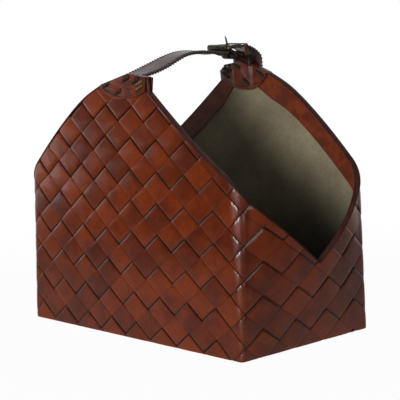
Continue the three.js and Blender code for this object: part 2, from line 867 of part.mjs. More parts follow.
// The frame's middle line: round each corner in turn, and along the bowed side bars.
function frameLine() {
  const line = [];
  const reach = frameHalfWidth - frameCornerRadius;
  const near = rollerY + frameCornerRadius;
  const far = frameRearY - frameCornerRadius;
  const quarter = Math.PI / 2;
  const corners = [[reach, far, quarter], [reach, near, 0], [-reach, near, -quarter], [-reach, far, -Math.PI]];
  corners.forEach(([x, y, from], i) => {
    for (let step = 0; step <= arcSteps; step += 1) {
      const angle = from - (step / arcSteps) * quarter;
      const cornerY = y + frameCornerRadius * Math.sin(angle);
      line.push(new THREE.Vector3(x + frameCornerRadius * Math.cos(angle), cornerY, sideBarHeight(cornerY)));
    }
    const alongSide = i % 2 === 0;
    for (let step = 1; alongSide && step <= arcSteps; step += 1) {
      const share = step / (arcSteps + 1);
      const barY = THREE.MathUtils.lerp(y, i === 0 ? near : far, share);
      line.push(new THREE.Vector3(Math.sign(x) * frameHalfWidth, barY, sideBarHeight(barY)));
    }
  });
  return line;
}

function buckleFrame() {
  const line = frameLine();
  const rings = line.map((point, i) => {
    const before = line[(i + line.length - 1) % line.length];
    const after = line[(i + 1) % line.length];
    return rodRing(point, after.clone().sub(before).normalize(), rodRadius);
  });
  return loft(rings, true);
}

function buckleRoller() {
  const half = frameHalfWidth - frameCornerRadius - clearance;
  const inner = rodRadius + clearance;
  const profile = [[inner, -half], [rollerRadius, -half], [rollerRadius, half], [inner, half], [inner, -half]];
  const points = profile.map(([x, y]) => new THREE.Vector2(x, y));
  const roller = new THREE.LatheGeometry(points, rollerSides);
  roller.rotateZ(Math.PI / 2);
  roller.translate(0, rollerY, rollerZ);
  return roller;
}

// The prong curls round the rear bar, rises through the strap's hole and ends in a point.
function prongLine() {
  const eye = rodRadius + clearance + prongRadius;
  const points = [];
  for (let degrees = prongEyeStart; degrees <= prongEyeEnd; degrees += prongEyeStep) {
    points.push(aroundAxis(frameRearY, frameRearZ, eye, degrees));
  }
  return new THREE.SplineCurve([...points, prongExit, prongTip]);
}

function buckleProng() {
  const curve = prongLine();
  const rings = [];
  for (let i = 0; i <= prongSteps; i += 1) {
    const share = i / prongSteps;
    const point = curve.getPointAt(share);
    const tangent = curve.getTangentAt(share);
    const up = new THREE.Vector2(-tangent.y, tangent.x);
    const taper = Math.min(1, prongTipShare + ((1 - share) * (1 - prongTipShare)) / prongTaperShare);
    const ring = [];
    for (let j = 0; j < rodSides; j += 1) {
      const angle = (j / rodSides) * Math.PI * 2;
      const rise = prongRadius * taper * Math.sin(angle);
      const x = prongRadius * taper * Math.cos(angle);
      ring.push(new THREE.Vector3(x, point.x + up.x * rise, point.y + up.y * rise));
    }
    rings.push(ring);
  }
  return loft(rings, false);
}

// The buckle strap folds round the frame's rear bar. Its lower layer ends under the keeper,
// and its upper layer runs back to the peak and down between the facing and the inner tab.
function foldCurve() {
  const inside = innerStandOff + foldThickness / 2;
  const lowerZ = frameRearZ - foldWrap;
  const upperZ = lowerZ + foldThickness + keeperThickness + 2 * clearance;
  const keeperMiddle = frameRearY + rodRadius + keeperSetBack + keeperDepth / 2;
  const leave = onBackPeak(inside, backPeak.crest + foldLeaveShare * foldThickness);
  const turn = (leave.x - keeperMiddle) * foldTurnShare;
  const roundBar = foldDegrees.map((degrees) => aroundAxis(frameRearY, frameRearZ, foldWrap, degrees));
  return new THREE.SplineCurve([
    new THREE.Vector2(keeperMiddle + foldEndShare * keeperDepth, lowerZ - clearance),
    new THREE.Vector2(keeperMiddle, lowerZ),
    new THREE.Vector2(frameRearY + foldWrap, lowerZ - clearance / 2),
    ...roundBar,
    new THREE.Vector2(keeperMiddle - keeperDepth / 2, upperZ + clearance),
    new THREE.Vector2(keeperMiddle + foldLevelShare * keeperDepth, upperZ),
    new THREE.Vector2(keeperMiddle + turn, upperZ - foldSagShare * foldThickness),
    leave,
    onBackPeak(inside, (backPeak.crest + foldEndHeight) / 2),
    onBackPeak(inside, foldEndHeight),
  ]);
}

// A slot in the fold lets the prong's eye reach the rear bar.
function buckleStrap() {
  const strap = sweepStrap(foldCurve(), foldSteps, () => foldWidth, foldThickness, () => 0);
  const reach = rodRadius + clearance + foldThickness + clearance;
  const slot = new THREE.BoxGeometry(slotWidth, 2 * reach, cutterShare * 2 * reach);
  slot.translate(0, frameRearY, frameRearZ);
  return cutAway(strap, [slot]);
}

// The keeper is a closed leather loop sewn into the fold, and the handle's tip runs through it.
function strapKeeper() {
  const low = frameRearZ - foldWrap + foldThickness / 2 + clearance;
  const high = strapLift + strapHalf + clearance + keeperThickness;
  const half = strapWidth / 2 + clearance + keeperThickness;
  const outline = (inset) => [
    new THREE.Vector2(-half + inset, low + inset),
    new THREE.Vector2(half - inset, low + inset),
    new THREE.Vector2(half - inset, high - inset),
    new THREE.Vector2(-half + inset, high - inset),
  ];
  const shape = new THREE.Shape(outline(0));
  shape.holes.push(new THREE.Path(outline(keeperThickness)));
  const keeper = new THREE.ExtrudeGeometry(shape, { depth: keeperDepth, bevelEnabled: false });
  keeper.rotateX(Math.PI / 2);
  keeper.translate(0, frameRearY + rodRadius + keeperSetBack + keeperDepth, 0);
  return keeper;
}

const frontStitches = stitchPlaces(frontPeak, strapWidth, strapThickness);
const backStitches = stitchPlaces(backPeak, foldWidth, foldThickness);
const frontHoles = frontStitches.flatMap(stitchHoles);
const backHoles = backStitches.flatMap(stitchHoles);
const wallHoles = [...frontHoles, ...backHoles.map((hole) => turnedToBack(hole.clone()))];
const backSlits = backStitches.map((place) => turnedToBack(stitchSlit(place)));
const wallSlits = [...frontStitches.map(stitchSlit), ...backSlits];

addPart("woven_shell", cutAway(wovenShell(), wallHoles), "plait");
addPart("wall_lining", cutAway(wallLining(), wallSlits), "lining");
addPart("rim_facing", cutAway(rimFacing(), wallSlits), "trim");
addPart("right_rim_binding", rimBinding(0), "trim");
addPart("left_rim_binding", rimBinding(halfTurn), "trim");

addPart("base_panel", baseSheet(0, basePanelThickness, liningInset), "plait");
const boardBottom = basePanelThickness + clearance;
addPart("base_board", baseSheet(boardBottom, baseBoardThickness, facingInset), "board");
const floorBottom = boardBottom + baseBoardThickness + clearance;
addPart("floor_lining", baseSheet(floorBottom, floorLiningThickness, facingInset), "lining");

const frontInnerTab = innerTab(frontPeak, strapWidth, strapThickness, strapBendHeight);
const backInnerTab = innerTab(backPeak, foldWidth, foldThickness, backPeak.crest);
addPart("front_outer_tab", cutAway(outerTab(frontPeak), frontHoles), "trim");
addPart("front_inner_tab", cutAway(frontInnerTab, frontHoles), "trim");
addPart("back_outer_tab", turnedToBack(cutAway(outerTab(backPeak), backHoles)), "trim");
addPart("back_inner_tab", turnedToBack(cutAway(backInnerTab, backHoles)), "trim");

frontStitches.forEach((place, i) => {
  addPart("front_stitch_" + (i + 1), stitchRing(place), "lacing");
});
backStitches.forEach((place, i) => {
  addPart("back_stitch_" + (i + 1), turnedToBack(stitchRing(place)), "lacing");
});

addPart("handle_strap", cutAway(handleStrap(), frontHoles), "strap");
addPart("buckle_strap", cutAway(buckleStrap(), wallHoles), "trim");
addPart("strap_keeper", strapKeeper(), "trim");
addPart("buckle_frame", buckleFrame(), "metal");
addPart("buckle_roller", buckleRoller(), "metal");
addPart("buckle_prong", buckleProng(), "metal");

export default basket;
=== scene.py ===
"""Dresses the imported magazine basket: its plait, lining, rim, tabs, lacing, strap and buckle."""

import math

import bmesh
import bpy
import numpy as np
from mathutils import Matrix, Vector


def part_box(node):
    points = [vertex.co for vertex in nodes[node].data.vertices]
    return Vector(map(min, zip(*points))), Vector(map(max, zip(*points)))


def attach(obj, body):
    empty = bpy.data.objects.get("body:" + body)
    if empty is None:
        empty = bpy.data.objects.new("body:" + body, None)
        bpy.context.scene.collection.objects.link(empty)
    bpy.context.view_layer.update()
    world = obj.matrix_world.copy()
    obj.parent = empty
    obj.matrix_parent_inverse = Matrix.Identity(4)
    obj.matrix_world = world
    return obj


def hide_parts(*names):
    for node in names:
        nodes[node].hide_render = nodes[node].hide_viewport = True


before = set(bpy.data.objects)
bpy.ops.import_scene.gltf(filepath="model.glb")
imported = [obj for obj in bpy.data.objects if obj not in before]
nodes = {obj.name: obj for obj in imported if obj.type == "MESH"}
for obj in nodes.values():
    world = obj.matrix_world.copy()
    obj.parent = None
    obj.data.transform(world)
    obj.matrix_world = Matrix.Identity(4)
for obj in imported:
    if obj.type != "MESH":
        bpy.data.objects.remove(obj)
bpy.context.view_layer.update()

# Sizes are in millimetres unless a comment says otherwise, and MM turns them into metres
MM = 0.001
CLEARANCE = 0.35

# Wall, as in the solids
BASKET_LENGTH, BASKET_WIDTH = 400, 232
HALF_LENGTH, HALF_WIDTH = BASKET_LENGTH / 2, BASKET_WIDTH / 2
HALF_TURN = BASKET_LENGTH + BASKET_WIDTH
CORNER_LOW, CORNER_HIGH, CORNER_RIM = 6, 19, 205
PANEL_BELLY, PANEL_BELLY_HEIGHT, END_BELLY = 4.7, 132, 12

# Rim, with its peaks, and the shares of the way along and of the drop on the flanks
NOTCH_HEIGHT, NOTCH_OFFSET = 104, 12
NOTCH_ALONG = HALF_LENGTH + HALF_WIDTH + NOTCH_OFFSET
PEAK_HALF, PEAK_STEP, PEAK_STEP_HEIGHT = 44, 2, 316
PEAK_OUTER = PEAK_HALF + PEAK_STEP
FRONT_PEAK = {"low": 322, "crest": 337, "high": 333, "crest_along": 9}
BACK_PEAK = {"low": 327, "crest": 344, "high": 330, "crest_along": 2}
STRAIGHT_FLANK_SHARES = [(0, 0), (0.3, 0.3), (0.51, 0.49), (0.73, 0.725), (1, 1)]
BOWED_FLANK_SHARES = [(0, 0), (0.14, 0.09), (0.33, 0.275), (0.565, 0.54), (0.76, 0.78), (1, 1)]
FLANK_STEPS = 60

# Layers of the wall, as depths from its outside
PLAIT_THICKNESS = 4
LINING_INSET, LINING_THICKNESS = 4.35, 1
FACING_INSET, FACING_THICKNESS, FACING_DROP = 5.7, 1.5, 35
STACK = FACING_INSET + FACING_THICKNESS
FACING_MEET, FACING_COVER = 21.5, 3
BINDING_DEPTH, BINDING_OVERHANG, BINDING_SQUARENESS = 2.3, 0.45, 0.45
TOP_ON_PEAK, TOP_UNDER_BINDING, LINING_SET_BACK = 0.1, 1.1, 2

# Lattice of the plait
CROSSINGS = 25
FIRST_CROSSING = 0.9
LOWEST_ROW, HIGHEST_ROW = -2, 17
SIDE_COLUMNS = CROSSINGS * 0.6648
END_COLUMNS = CROSSINGS - SIDE_COLUMNS
CORNER_BLEND = 0.08 * CROSSINGS
SIDE_FIRST, SIDE_SLOPE, SIDE_PITCH = 25.5, -0.27, 19.56
END_FIRST, END_SLOPE, END_PITCH = -13.5, 1.55, 20.6

# Leaves of the plait: where a strip's face has points from edge to edge, and its gaps
LEAF_SHARES = np.array([-1, -0.97, -0.9, -0.76, -0.42, 0, 0.42, 0.76, 0.9, 0.97, 1])
BENT_LEAF_SHARES = np.array(
    [-1, -0.97, -0.9, -0.76, -0.59, -0.42, -0.21, 0, 0.21, 0.42, 0.59, 0.76, 0.9, 0.97, 1]
)
BENT_WITHIN = 40
END_GAP, EDGE_GAP, CLOSED_GAP = 0.026, 0.015, 0.003
GAP_SPREAD_SHARES = (0.25, 1.75)
STRIP_CROWN, STRIP_DROP, STRIP_DIVE, STRIP_LIP, OPEN_SIDE_EXTRA = 0.34, 0.16, 0.26, 0.16, 0.4
STRIP_INSET, STRIP_DEPTH, STRIP_EDGE = 0.1, 2.9, 0.2
STRIP_TILT, GRAIN_SHIFT, HALF_STRIP = 0.16, 500, 15
LOWEST, FOOT_RADIUS = 0.1, 1.2
BACKING_OVERLAP, BACKING_DROP, BACKING_ROWS, BACKING_PITCH = 0.25, 0.3, 24, 8

# Linings and the seam of the facing, with the cloths' flat sizes in metres
LINING_BOTTOM, LINING_FOOT, LINING_ROWS, LINING_PITCH = 3.4, 8.6, 40, 7
CLOTH_LIFT, CLOTH_WAVE = 0.25, 0.16
FLOOR_LEVEL, FLOOR_CLOTH_GAP, FLOOR_CLOTH_WAVE, FLOOR_PITCH = 7.2, 0.05, 0.08, 8
FLOOR_CLOTH_INSET = FACING_INSET + 0.1
# The floor's cloth from its edge inwards: share of the way from its middle, rise
FLOOR_CLOTH_RINGS = [(1, 0), (0.985, 0.55), (0.96, 0.85), (0.8, 0.9), (0.55, 0.9), (0.3, 0.9), (0.1, 0.9)]
FACING_ROWS, FACING_PITCH, BINDING_PITCH = 8, 6, 4
SEAM_RISE, SEAM_PITCH, SEAM_STITCH = 2.6, 3.6, 2.6

# Tabs and lacing
TAB_HALF, TAB_THICKNESS, TAB_BOTTOM, TAB_DARK_EDGE = 43, 2.2, 305, 40.6
STITCHES, FIRST_PALE_STITCH = 6, 5
TAB_EDGE, THONG_EDGE = 0.6, 0.35
STITCH_SLANT = math.radians(28)
PAINTED_SHADE_WELL_RADII = (9.2, 1000, 4.1)

# Handle strap
STRAP_WIDTH, STRAP_THICKNESS, STRAP_DARK_EDGE = 34, 3, 15.6
STRAP_CROWN, STRAP_ROUND = 0.12, 1.2
STRAP_LIFT = BACK_PEAK["crest"] + 19
STRAP_BEND_HEIGHT = FRONT_PEAK["crest"] - 16
STRAP_END_HEIGHT = FRONT_PEAK["crest"] - 34
STRAP_TIP_HEIGHT = BACK_PEAK["crest"] - 42
STRAP_TIP_LENGTH, TIP_ROUND_SHARE = 16, 0.94
STRAP_TWIST, TWIST_RUN_SHARE = math.radians(6), 0.5
HOLE_WIDTH, HOLE_LENGTH, HOLE_PITCH, HOLE_COUNT, HOLE_SET_BACK = 4, 6.5, 23, 3, 0.7
HANDLE_RISE, ROLLER_RISE_SHARE = 26, 0.885
BEND_SHARES = [(0.93, 2.7), (2.37, 4.03)]
ARC_SHARES = [
    (0.06, 0.09), (0.166, 0.25), (0.298, 0.488), (0.43, 0.765),
    (0.55, 0.946), (0.682, 1), (0.815, 0.954), (0.934, 0.89),
]
WRAP_DEGREES = (-90, -60, -30, -5)
LEVEL_SHARES = [(1.45, 0.175), (2.2, 0), (4.4, 0), (6.4, 0.4), (8.2, 1.9)]
TIP_FALL_SHARES = [(0.22, 3.2), (2.2, 5.4), (2.42, 9)]
TIP_BULGE_SHARE = 1.1

# Thread whipped over the strap's edges: places across and above the edge, and thicknesses
WHIP_PITCH, WHIP_END, WHIP_ADVANCE = 4.6, 18, 0.9
WHIP_BEND = [(-4.2, -0.3), (-3, 0.3), (-0.2, 0.1)]
WHIP_OVERHANG = 0.45
WHIP_RADII = [0.25, 0.66, 0.74, 0.74, 0.74, 0.66, 0.25]
WHIP_FREE_OF_KEEPER = (3, 15)

# Buckle, fold and keeper
FRAME_REAR_Y, FRAME_LENGTH = 81, 25
FRAME_REAR_Z = STRAP_LIFT - 11.8
ROLLER_Y = FRAME_REAR_Y - FRAME_LENGTH
ROD_RADIUS, ROLLER_RADIUS, ROLLER_GAP = 1.7, 4.2, 0.6
ROLLER_WRAP = ROLLER_RADIUS + ROLLER_GAP + STRAP_THICKNESS / 2
FRAME_CORNER, FRAME_BOW = 2.2, 1.7
FRAME_HALF = STRAP_WIDTH / 2 + 1 + ROD_RADIUS
PRONG_RADIUS, PRONG_EXIT_REACH, PRONG_TIP_REACH, PRONG_TIP_RISE = 1.25, 6.6, 11.6, 25.6
PRONG_EYE_DEGREES = range(190, 401, 30)
PRONG_TIP_SHARE, PRONG_TAPER_SHARE = 0.35, 0.1
FOLD_THICKNESS, FOLD_WIDTH, FOLD_SLOT = 3.6, 30, 4.6
FOLD_WRAP = ROD_RADIUS + CLEARANCE + FOLD_THICKNESS / 2
FOLD_DEGREES = (-90, -135, 180, 135, 90)
FOLD_END_HEIGHT = BACK_PEAK["crest"] - 33
FOLD_END_SHARE, FOLD_LEVEL_SHARE, FOLD_TURN_SHARE = 0.62, 0.3, 0.62
FOLD_SAG_SHARE, FOLD_LEAVE_SHARE = 0.25, 0.6
KEEPER_THICKNESS, KEEPER_DEPTH, KEEPER_SET_BACK = 1.6, 7.6, 3.8
KEEPER_CORNER, SOFT_EDGE = 3.6, 0.5

# Fineness
HANDLE_STEPS, FOLD_STEPS, PRONG_STEPS, FINE_STEPS = 230, 120, 69, 4000
HOLE_SIDES = 24
ROD_SIDES, PRONG_SIDES, THREAD_SIDES, ROLLER_SIDES = 16, 12, 6, 40

# Studio, in metres: the camera stands where the photograph's did
CAMERA_LENS, CAMERA_SENSOR = 125.75, 36
CAMERA_RIGHT, CAMERA_UP = (0.69228, 0.72099, -0.03028), (-0.0794, 0.1178, 0.98986)
CAMERA_BACK, CAMERA_PLACE = (0.71725, -0.68285, 0.1388), (1.32875, -1.25099, 0.41978)
AWAY_FROM_CAMERA = (-0.724, 0.69, 0)
BASKET_MIDDLE = (0, 0, 0.17)
AMBIENT, FLOOR_SIZE, FLOOR_DROP = 0.012, 30, 0.0004
WHITE, BLACK, FLOOR_GREY = (1, 1, 1, 1), (0, 0, 0, 1), (0.8, 0.8, 0.8, 1)
# Name, degrees round and above the floor, distance, width, height, power
LAMPS = [
    ("front_lamp", -74, 8.5, 2.2, 0.7, 0.7, 30),
    ("end_lamp", -5, 7, 2.2, 0.8, 0.8, 8),
    ("left_lamp", -155, 6, 1.3, 0.5, 0.5, 1.1),
    ("back_lamp", 125, 3, 2.2, 0.6, 0.6, 7),
]
# This one gives highlights only
CORNER_GLOW = ("corner_glow", -50, 9, 2.4, 0.6, 0.8, 56)

rng = np.random.default_rng(11)


# Curves and the wall


def smoothstep(x, low, high):
    share = np.clip((x - low) / (high - low), 0, 1)
    return share * share * (3 - 2 * share)


def unit(vectors):
    return vectors / np.maximum(np.linalg.norm(vectors, axis=-1, keepdims=True), 1e-9)


def way_along(line):
    """How far along a line each of its points lies."""
    return np.concatenate([[0], np.cumsum(np.linalg.norm(np.diff(line, axis=0), axis=1))])


def spline(points, shares):
    """Points of a smooth curve through the given ones, at shares of its spans."""
    points = np.asarray(points, float)
    spans = len(points) - 1
    place = np.clip(np.asarray(shares, float), 0, 1) * spans
    start = np.minimum(place.astype(int), spans - 1)
    t = (place - start)[:, None]
    before, here = points[np.maximum(start - 1, 0)], points[start]
    after, beyond = points[start + 1], points[np.minimum(start + 2, spans)]
    leaving, arriving = (after - before) / 2, (beyond - here) / 2
    cubic = 2 * here - 2 * after + leaving + arriving
    square = -3 * here + 3 * after - 2 * leaving - arriving
    return cubic * t**3 + square * t**2 + leaving * t + here


def wall_point(along, height, inset):
    """Points of the wall at distances along it, heights and depths from its outside."""
    along, height, inset = np.broadcast_arrays(
        np.asarray(along, float), np.asarray(height, float), np.asarray(inset, float)
    )
    turn = np.floor(along / HALF_TURN + 0.5)
    run = along - turn * HALF_TURN
    distance = np.abs(run)
    radius = CORNER_LOW + (CORNER_HIGH - CORNER_LOW) * np.minimum(height / CORNER_RIM, 1)
    straight = HALF_LENGTH - radius
    panel_swell = PANEL_BELLY * (1 - (height / PANEL_BELLY_HEIGHT - 1) ** 2)
    on_panel_y = inset - panel_swell * (1 - (distance / straight) ** 2)
    angle = (distance - straight) / radius * math.pi / 4
    from_middle = HALF_LENGTH + HALF_WIDTH - distance
    end_swell = END_BELLY * height / NOTCH_HEIGHT
    end_x = HALF_LENGTH + end_swell * (1 - (from_middle / (HALF_WIDTH - radius)) ** 2) - inset
    on_panel, in_corner = distance <= straight, distance < HALF_LENGTH + radius
    corner_x = straight + (radius - inset) * np.sin(angle)
    corner_y = radius - (radius - inset) * np.cos(angle) - HALF_WIDTH
    x = np.where(on_panel, distance, np.where(in_corner, corner_x, end_x))
    y = np.where(on_panel, on_panel_y - HALF_WIDTH, np.where(in_corner, corner_y, -from_middle))
    facing = np.where(turn % 2 == 0, 1, -1)
    return np.stack([facing * np.where(run < 0, -1, 1) * x, facing * y, height], axis=-1)


def flank(from_along, from_height, to_along, shares):
    points = [
        (from_along + (to_along - from_along) * way, from_height - (from_height - NOTCH_HEIGHT) * fall)
        for way, fall in shares
    ]
    return spline(points, np.linspace(0, 1, FLANK_STEPS + 1))


def rim_outline(peak):
    bowed = flank(-PEAK_OUTER, peak["low"], NOTCH_ALONG - HALF_TURN, BOWED_FLANK_SHARES)[::-1]
    top = [(-PEAK_HALF, peak["low"]), (peak["crest_along"], peak["crest"]), (PEAK_HALF, peak["high"])]
    straight = flank(PEAK_OUTER, PEAK_STEP_HEIGHT, NOTCH_ALONG, STRAIGHT_FLANK_SHARES)
    return np.concatenate([bowed, top, straight])


RIMS = [rim_outline(FRONT_PEAK), rim_outline(BACK_PEAK)]


def panel_of(along):
    """Distances from the middle of the nearer long panel, and 1 where that is the back one."""
    along = np.asarray(along, float)
    turn = np.ceil((along - NOTCH_ALONG) / HALF_TURN)
    return along - turn * HALF_TURN, np.abs(turn % 2)


def rim_height(along):
    run, back = panel_of(along)
    front_rim, back_rim = (np.interp(run, rim[:, 0], rim[:, 1]) for rim in RIMS)
    return np.where(back == 0, front_rim, back_rim)


def layer_top(along):
    """The top of the layers: under the binding on the flanks, at the rim on the peaks."""
    run, _ = panel_of(along)
    return rim_height(along) - np.where(np.abs(run) <= PEAK_HALF, TOP_ON_PEAK, TOP_UNDER_BINDING)


def facing_bottom(along):
    """The facing's lower edge follows the rim, and runs in under the tabs on the peaks."""
    run, back = panel_of(along)
    left = np.where(back == 0, FRONT_PEAK["low"], BACK_PEAK["low"])
    edge = np.where(run < 0, left, PEAK_STEP_HEIGHT) - FACING_DROP
    inwards = np.clip((PEAK_OUTER - np.abs(run)) / (PEAK_OUTER - FACING_MEET), 0, 1)
    under_peak = edge + (TAB_BOTTOM + FACING_COVER - edge) * inwards
    return np.where(np.abs(run) >= PEAK_OUTER, rim_height(along) - FACING_DROP, under_peak)


def column_along(column):
    turn = np.floor(column / CROSSINGS)
    past = column - turn * CROSSINGS
    on_side = -HALF_LENGTH + past * BASKET_LENGTH / SIDE_COLUMNS
    on_end = HALF_LENGTH + (past - SIDE_COLUMNS) * BASKET_WIDTH / END_COLUMNS
    return turn * HALF_TURN + np.where(past < SIDE_COLUMNS, on_side, on_end)


def row_height(column, row):
    """Rows rise at their own pitch and slope on the sides and ends, and blend at the corners."""
    past = column - np.floor(column / CROSSINGS) * CROSSINGS
    into, out, before = (
        smoothstep(past, corner - CORNER_BLEND, corner + CORNER_BLEND)
        for corner in (SIDE_COLUMNS, CROSSINGS, 0)
    )
    share = into - out + 1 - before
    along_side = np.where(past > (SIDE_COLUMNS + CROSSINGS) / 2, past - CROSSINGS, past)
    along_end = np.where(past < SIDE_COLUMNS / 2, past + CROSSINGS, past)
    side = SIDE_FIRST + SIDE_SLOPE * along_side + SIDE_PITCH * row
    end = END_FIRST + END_SLOPE * along_end + END_PITCH * row
    return side + (end - side) * share


# Making pieces


def only(piece):
    bpy.ops.object.select_all(action="DESELECT")
    piece.select_set(True)
    bpy.context.view_layer.objects.active = piece


def soften(piece, degrees=38):
    only(piece)
    bpy.ops.object.shade_smooth_by_angle(angle=math.radians(degrees))


def give(piece, finish, body="basket", stands_for=()):
    """Gives a finished piece its material, its body and the nodes it stands for."""
    piece.data.materials.clear()
    piece.data.materials.append(finish)
    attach(piece, body)
    if stands_for:
        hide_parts(*stands_for)
    return piece


def piece_from(name, points, faces):
    mesh = bpy.data.meshes.new(name)
    mesh.from_pydata((np.asarray(points) * MM).tolist(), [], faces)
    mesh.validate()
    piece = bpy.data.objects.new(name, mesh)
    bpy.context.scene.collection.objects.link(piece)
    return piece


def turned_out(piece):
    only(piece)
    bpy.ops.object.mode_set(mode="EDIT")
    bpy.ops.mesh.select_all(action="SELECT")
    bpy.ops.mesh.normals_make_consistent(inside=False)
    bpy.ops.object.mode_set(mode="OBJECT")


def shell(name, points, faces, degrees=38):
    """A closed piece that faces outwards and is softly shaded."""
    piece = piece_from(name, points, faces)
    turned_out(piece)
    soften(piece, degrees)
    return piece


def settle(piece):
    """Puts the object at the origin, with its place in its mesh."""
    only(piece)
    bpy.ops.object.transform_apply(location=True, rotation=True, scale=True)


def bevel(piece, width, segments, degrees):
    rounding = piece.modifiers.new("edges", "BEVEL")
    rounding.width, rounding.segments, rounding.limit_method = width * MM, segments, "ANGLE"
    rounding.angle_limit = math.radians(degrees)


def apply_all(piece):
    only(piece)
    for modifier in list(piece.modifiers):
        bpy.ops.object.modifier_apply(modifier=modifier.name)


def cut_with(piece, cutter):
    modifier = piece.modifiers.new("hole", "BOOLEAN")
    modifier.operation, modifier.solver, modifier.object = "DIFFERENCE", "EXACT", cutter
    apply_all(piece)
    bpy.data.objects.remove(cutter)


def bevelled_copy(name, node, width, segments=2):
    """A copy of a solid with its edges rounded."""
    piece = bpy.data.objects.new(name, nodes[node].data.copy())
    piece.data.materials.clear()
    bpy.context.scene.collection.objects.link(piece)
    only(piece)
    bpy.ops.object.mode_set(mode="EDIT")
    bpy.ops.mesh.select_all(action="SELECT")
    bpy.ops.mesh.remove_doubles(threshold=1e-6)
    bpy.ops.mesh.dissolve_limited(angle_limit=math.radians(1))
    bpy.ops.mesh.normals_make_consistent(inside=False)
    bpy.ops.object.mode_set(mode="OBJECT")
    bevel(piece, width, segments, 30)
    apply_all(piece)
    soften(piece)
    return piece


def ring_faces(rings, size, closed):
    faces = []
    for i in range(rings if closed else rings - 1):
        here, there = i * size, ((i + 1) % rings) * size
        for j in range(size):
            following = (j + 1) % size
            faces.append((here + j, here + following, there + following, there + j))
    return faces


def sweep(rings, closed):
    """Points and faces of rings joined one after the other, with ends closed if it is open."""
    size = len(rings[0])
    faces = ring_faces(len(rings), size, closed)
    if not closed:
        last = (len(rings) - 1) * size
        faces.append(tuple(range(size))[::-1])
        faces.append(tuple(range(last, last + size)))
    return np.concatenate(rings), faces


def merged(parts):
    """One list of points and one of faces from several."""
    points, faces, base = [], [], 0
    for part_points, part_faces in parts:
        points.append(part_points)
        faces.extend(tuple(base + i for i in face) for face in part_faces)
        base += len(part_points)
    return np.concatenate(points), faces


def tube_rings(line, radii, sides, upright):
    """Rings of points round a line."""
    line = np.asarray(line, float)
    tangent = unit(np.gradient(line, axis=0))
    side = unit(np.cross(upright, tangent))
    up = np.cross(tangent, side)
    angles = np.arange(sides) / sides * 2 * math.pi
    radii = np.broadcast_to(radii, len(line))
    return [
        line[i] + radii[i] * (np.cos(angles)[:, None] * side[i] + np.sin(angles)[:, None] * up[i])
        for i in range(len(line))
    ]


# Materials


class Value:
    """A number or colour that comes out of a shader node."""

    def __init__(self, finish, socket):
        self.finish, self.socket = finish, socket

    def _with(self, operation, first, second):
        return self.finish.node("ShaderNodeMath", {"operation": operation}, {0: first, 1: second})

    def __add__(self, other):
        return self._with("ADD", self, other)

    def __sub__(self, other):
        return self._with("SUBTRACT", self, other)

    def __rsub__(self, other):
        return self._with("SUBTRACT", other, self)

    def __mul__(self, other):
        return self._with("MULTIPLY", self, other)

    def __abs__(self):
        return self._with("ABSOLUTE", self, 0)

    __radd__ = __add__
    __rmul__ = __mul__


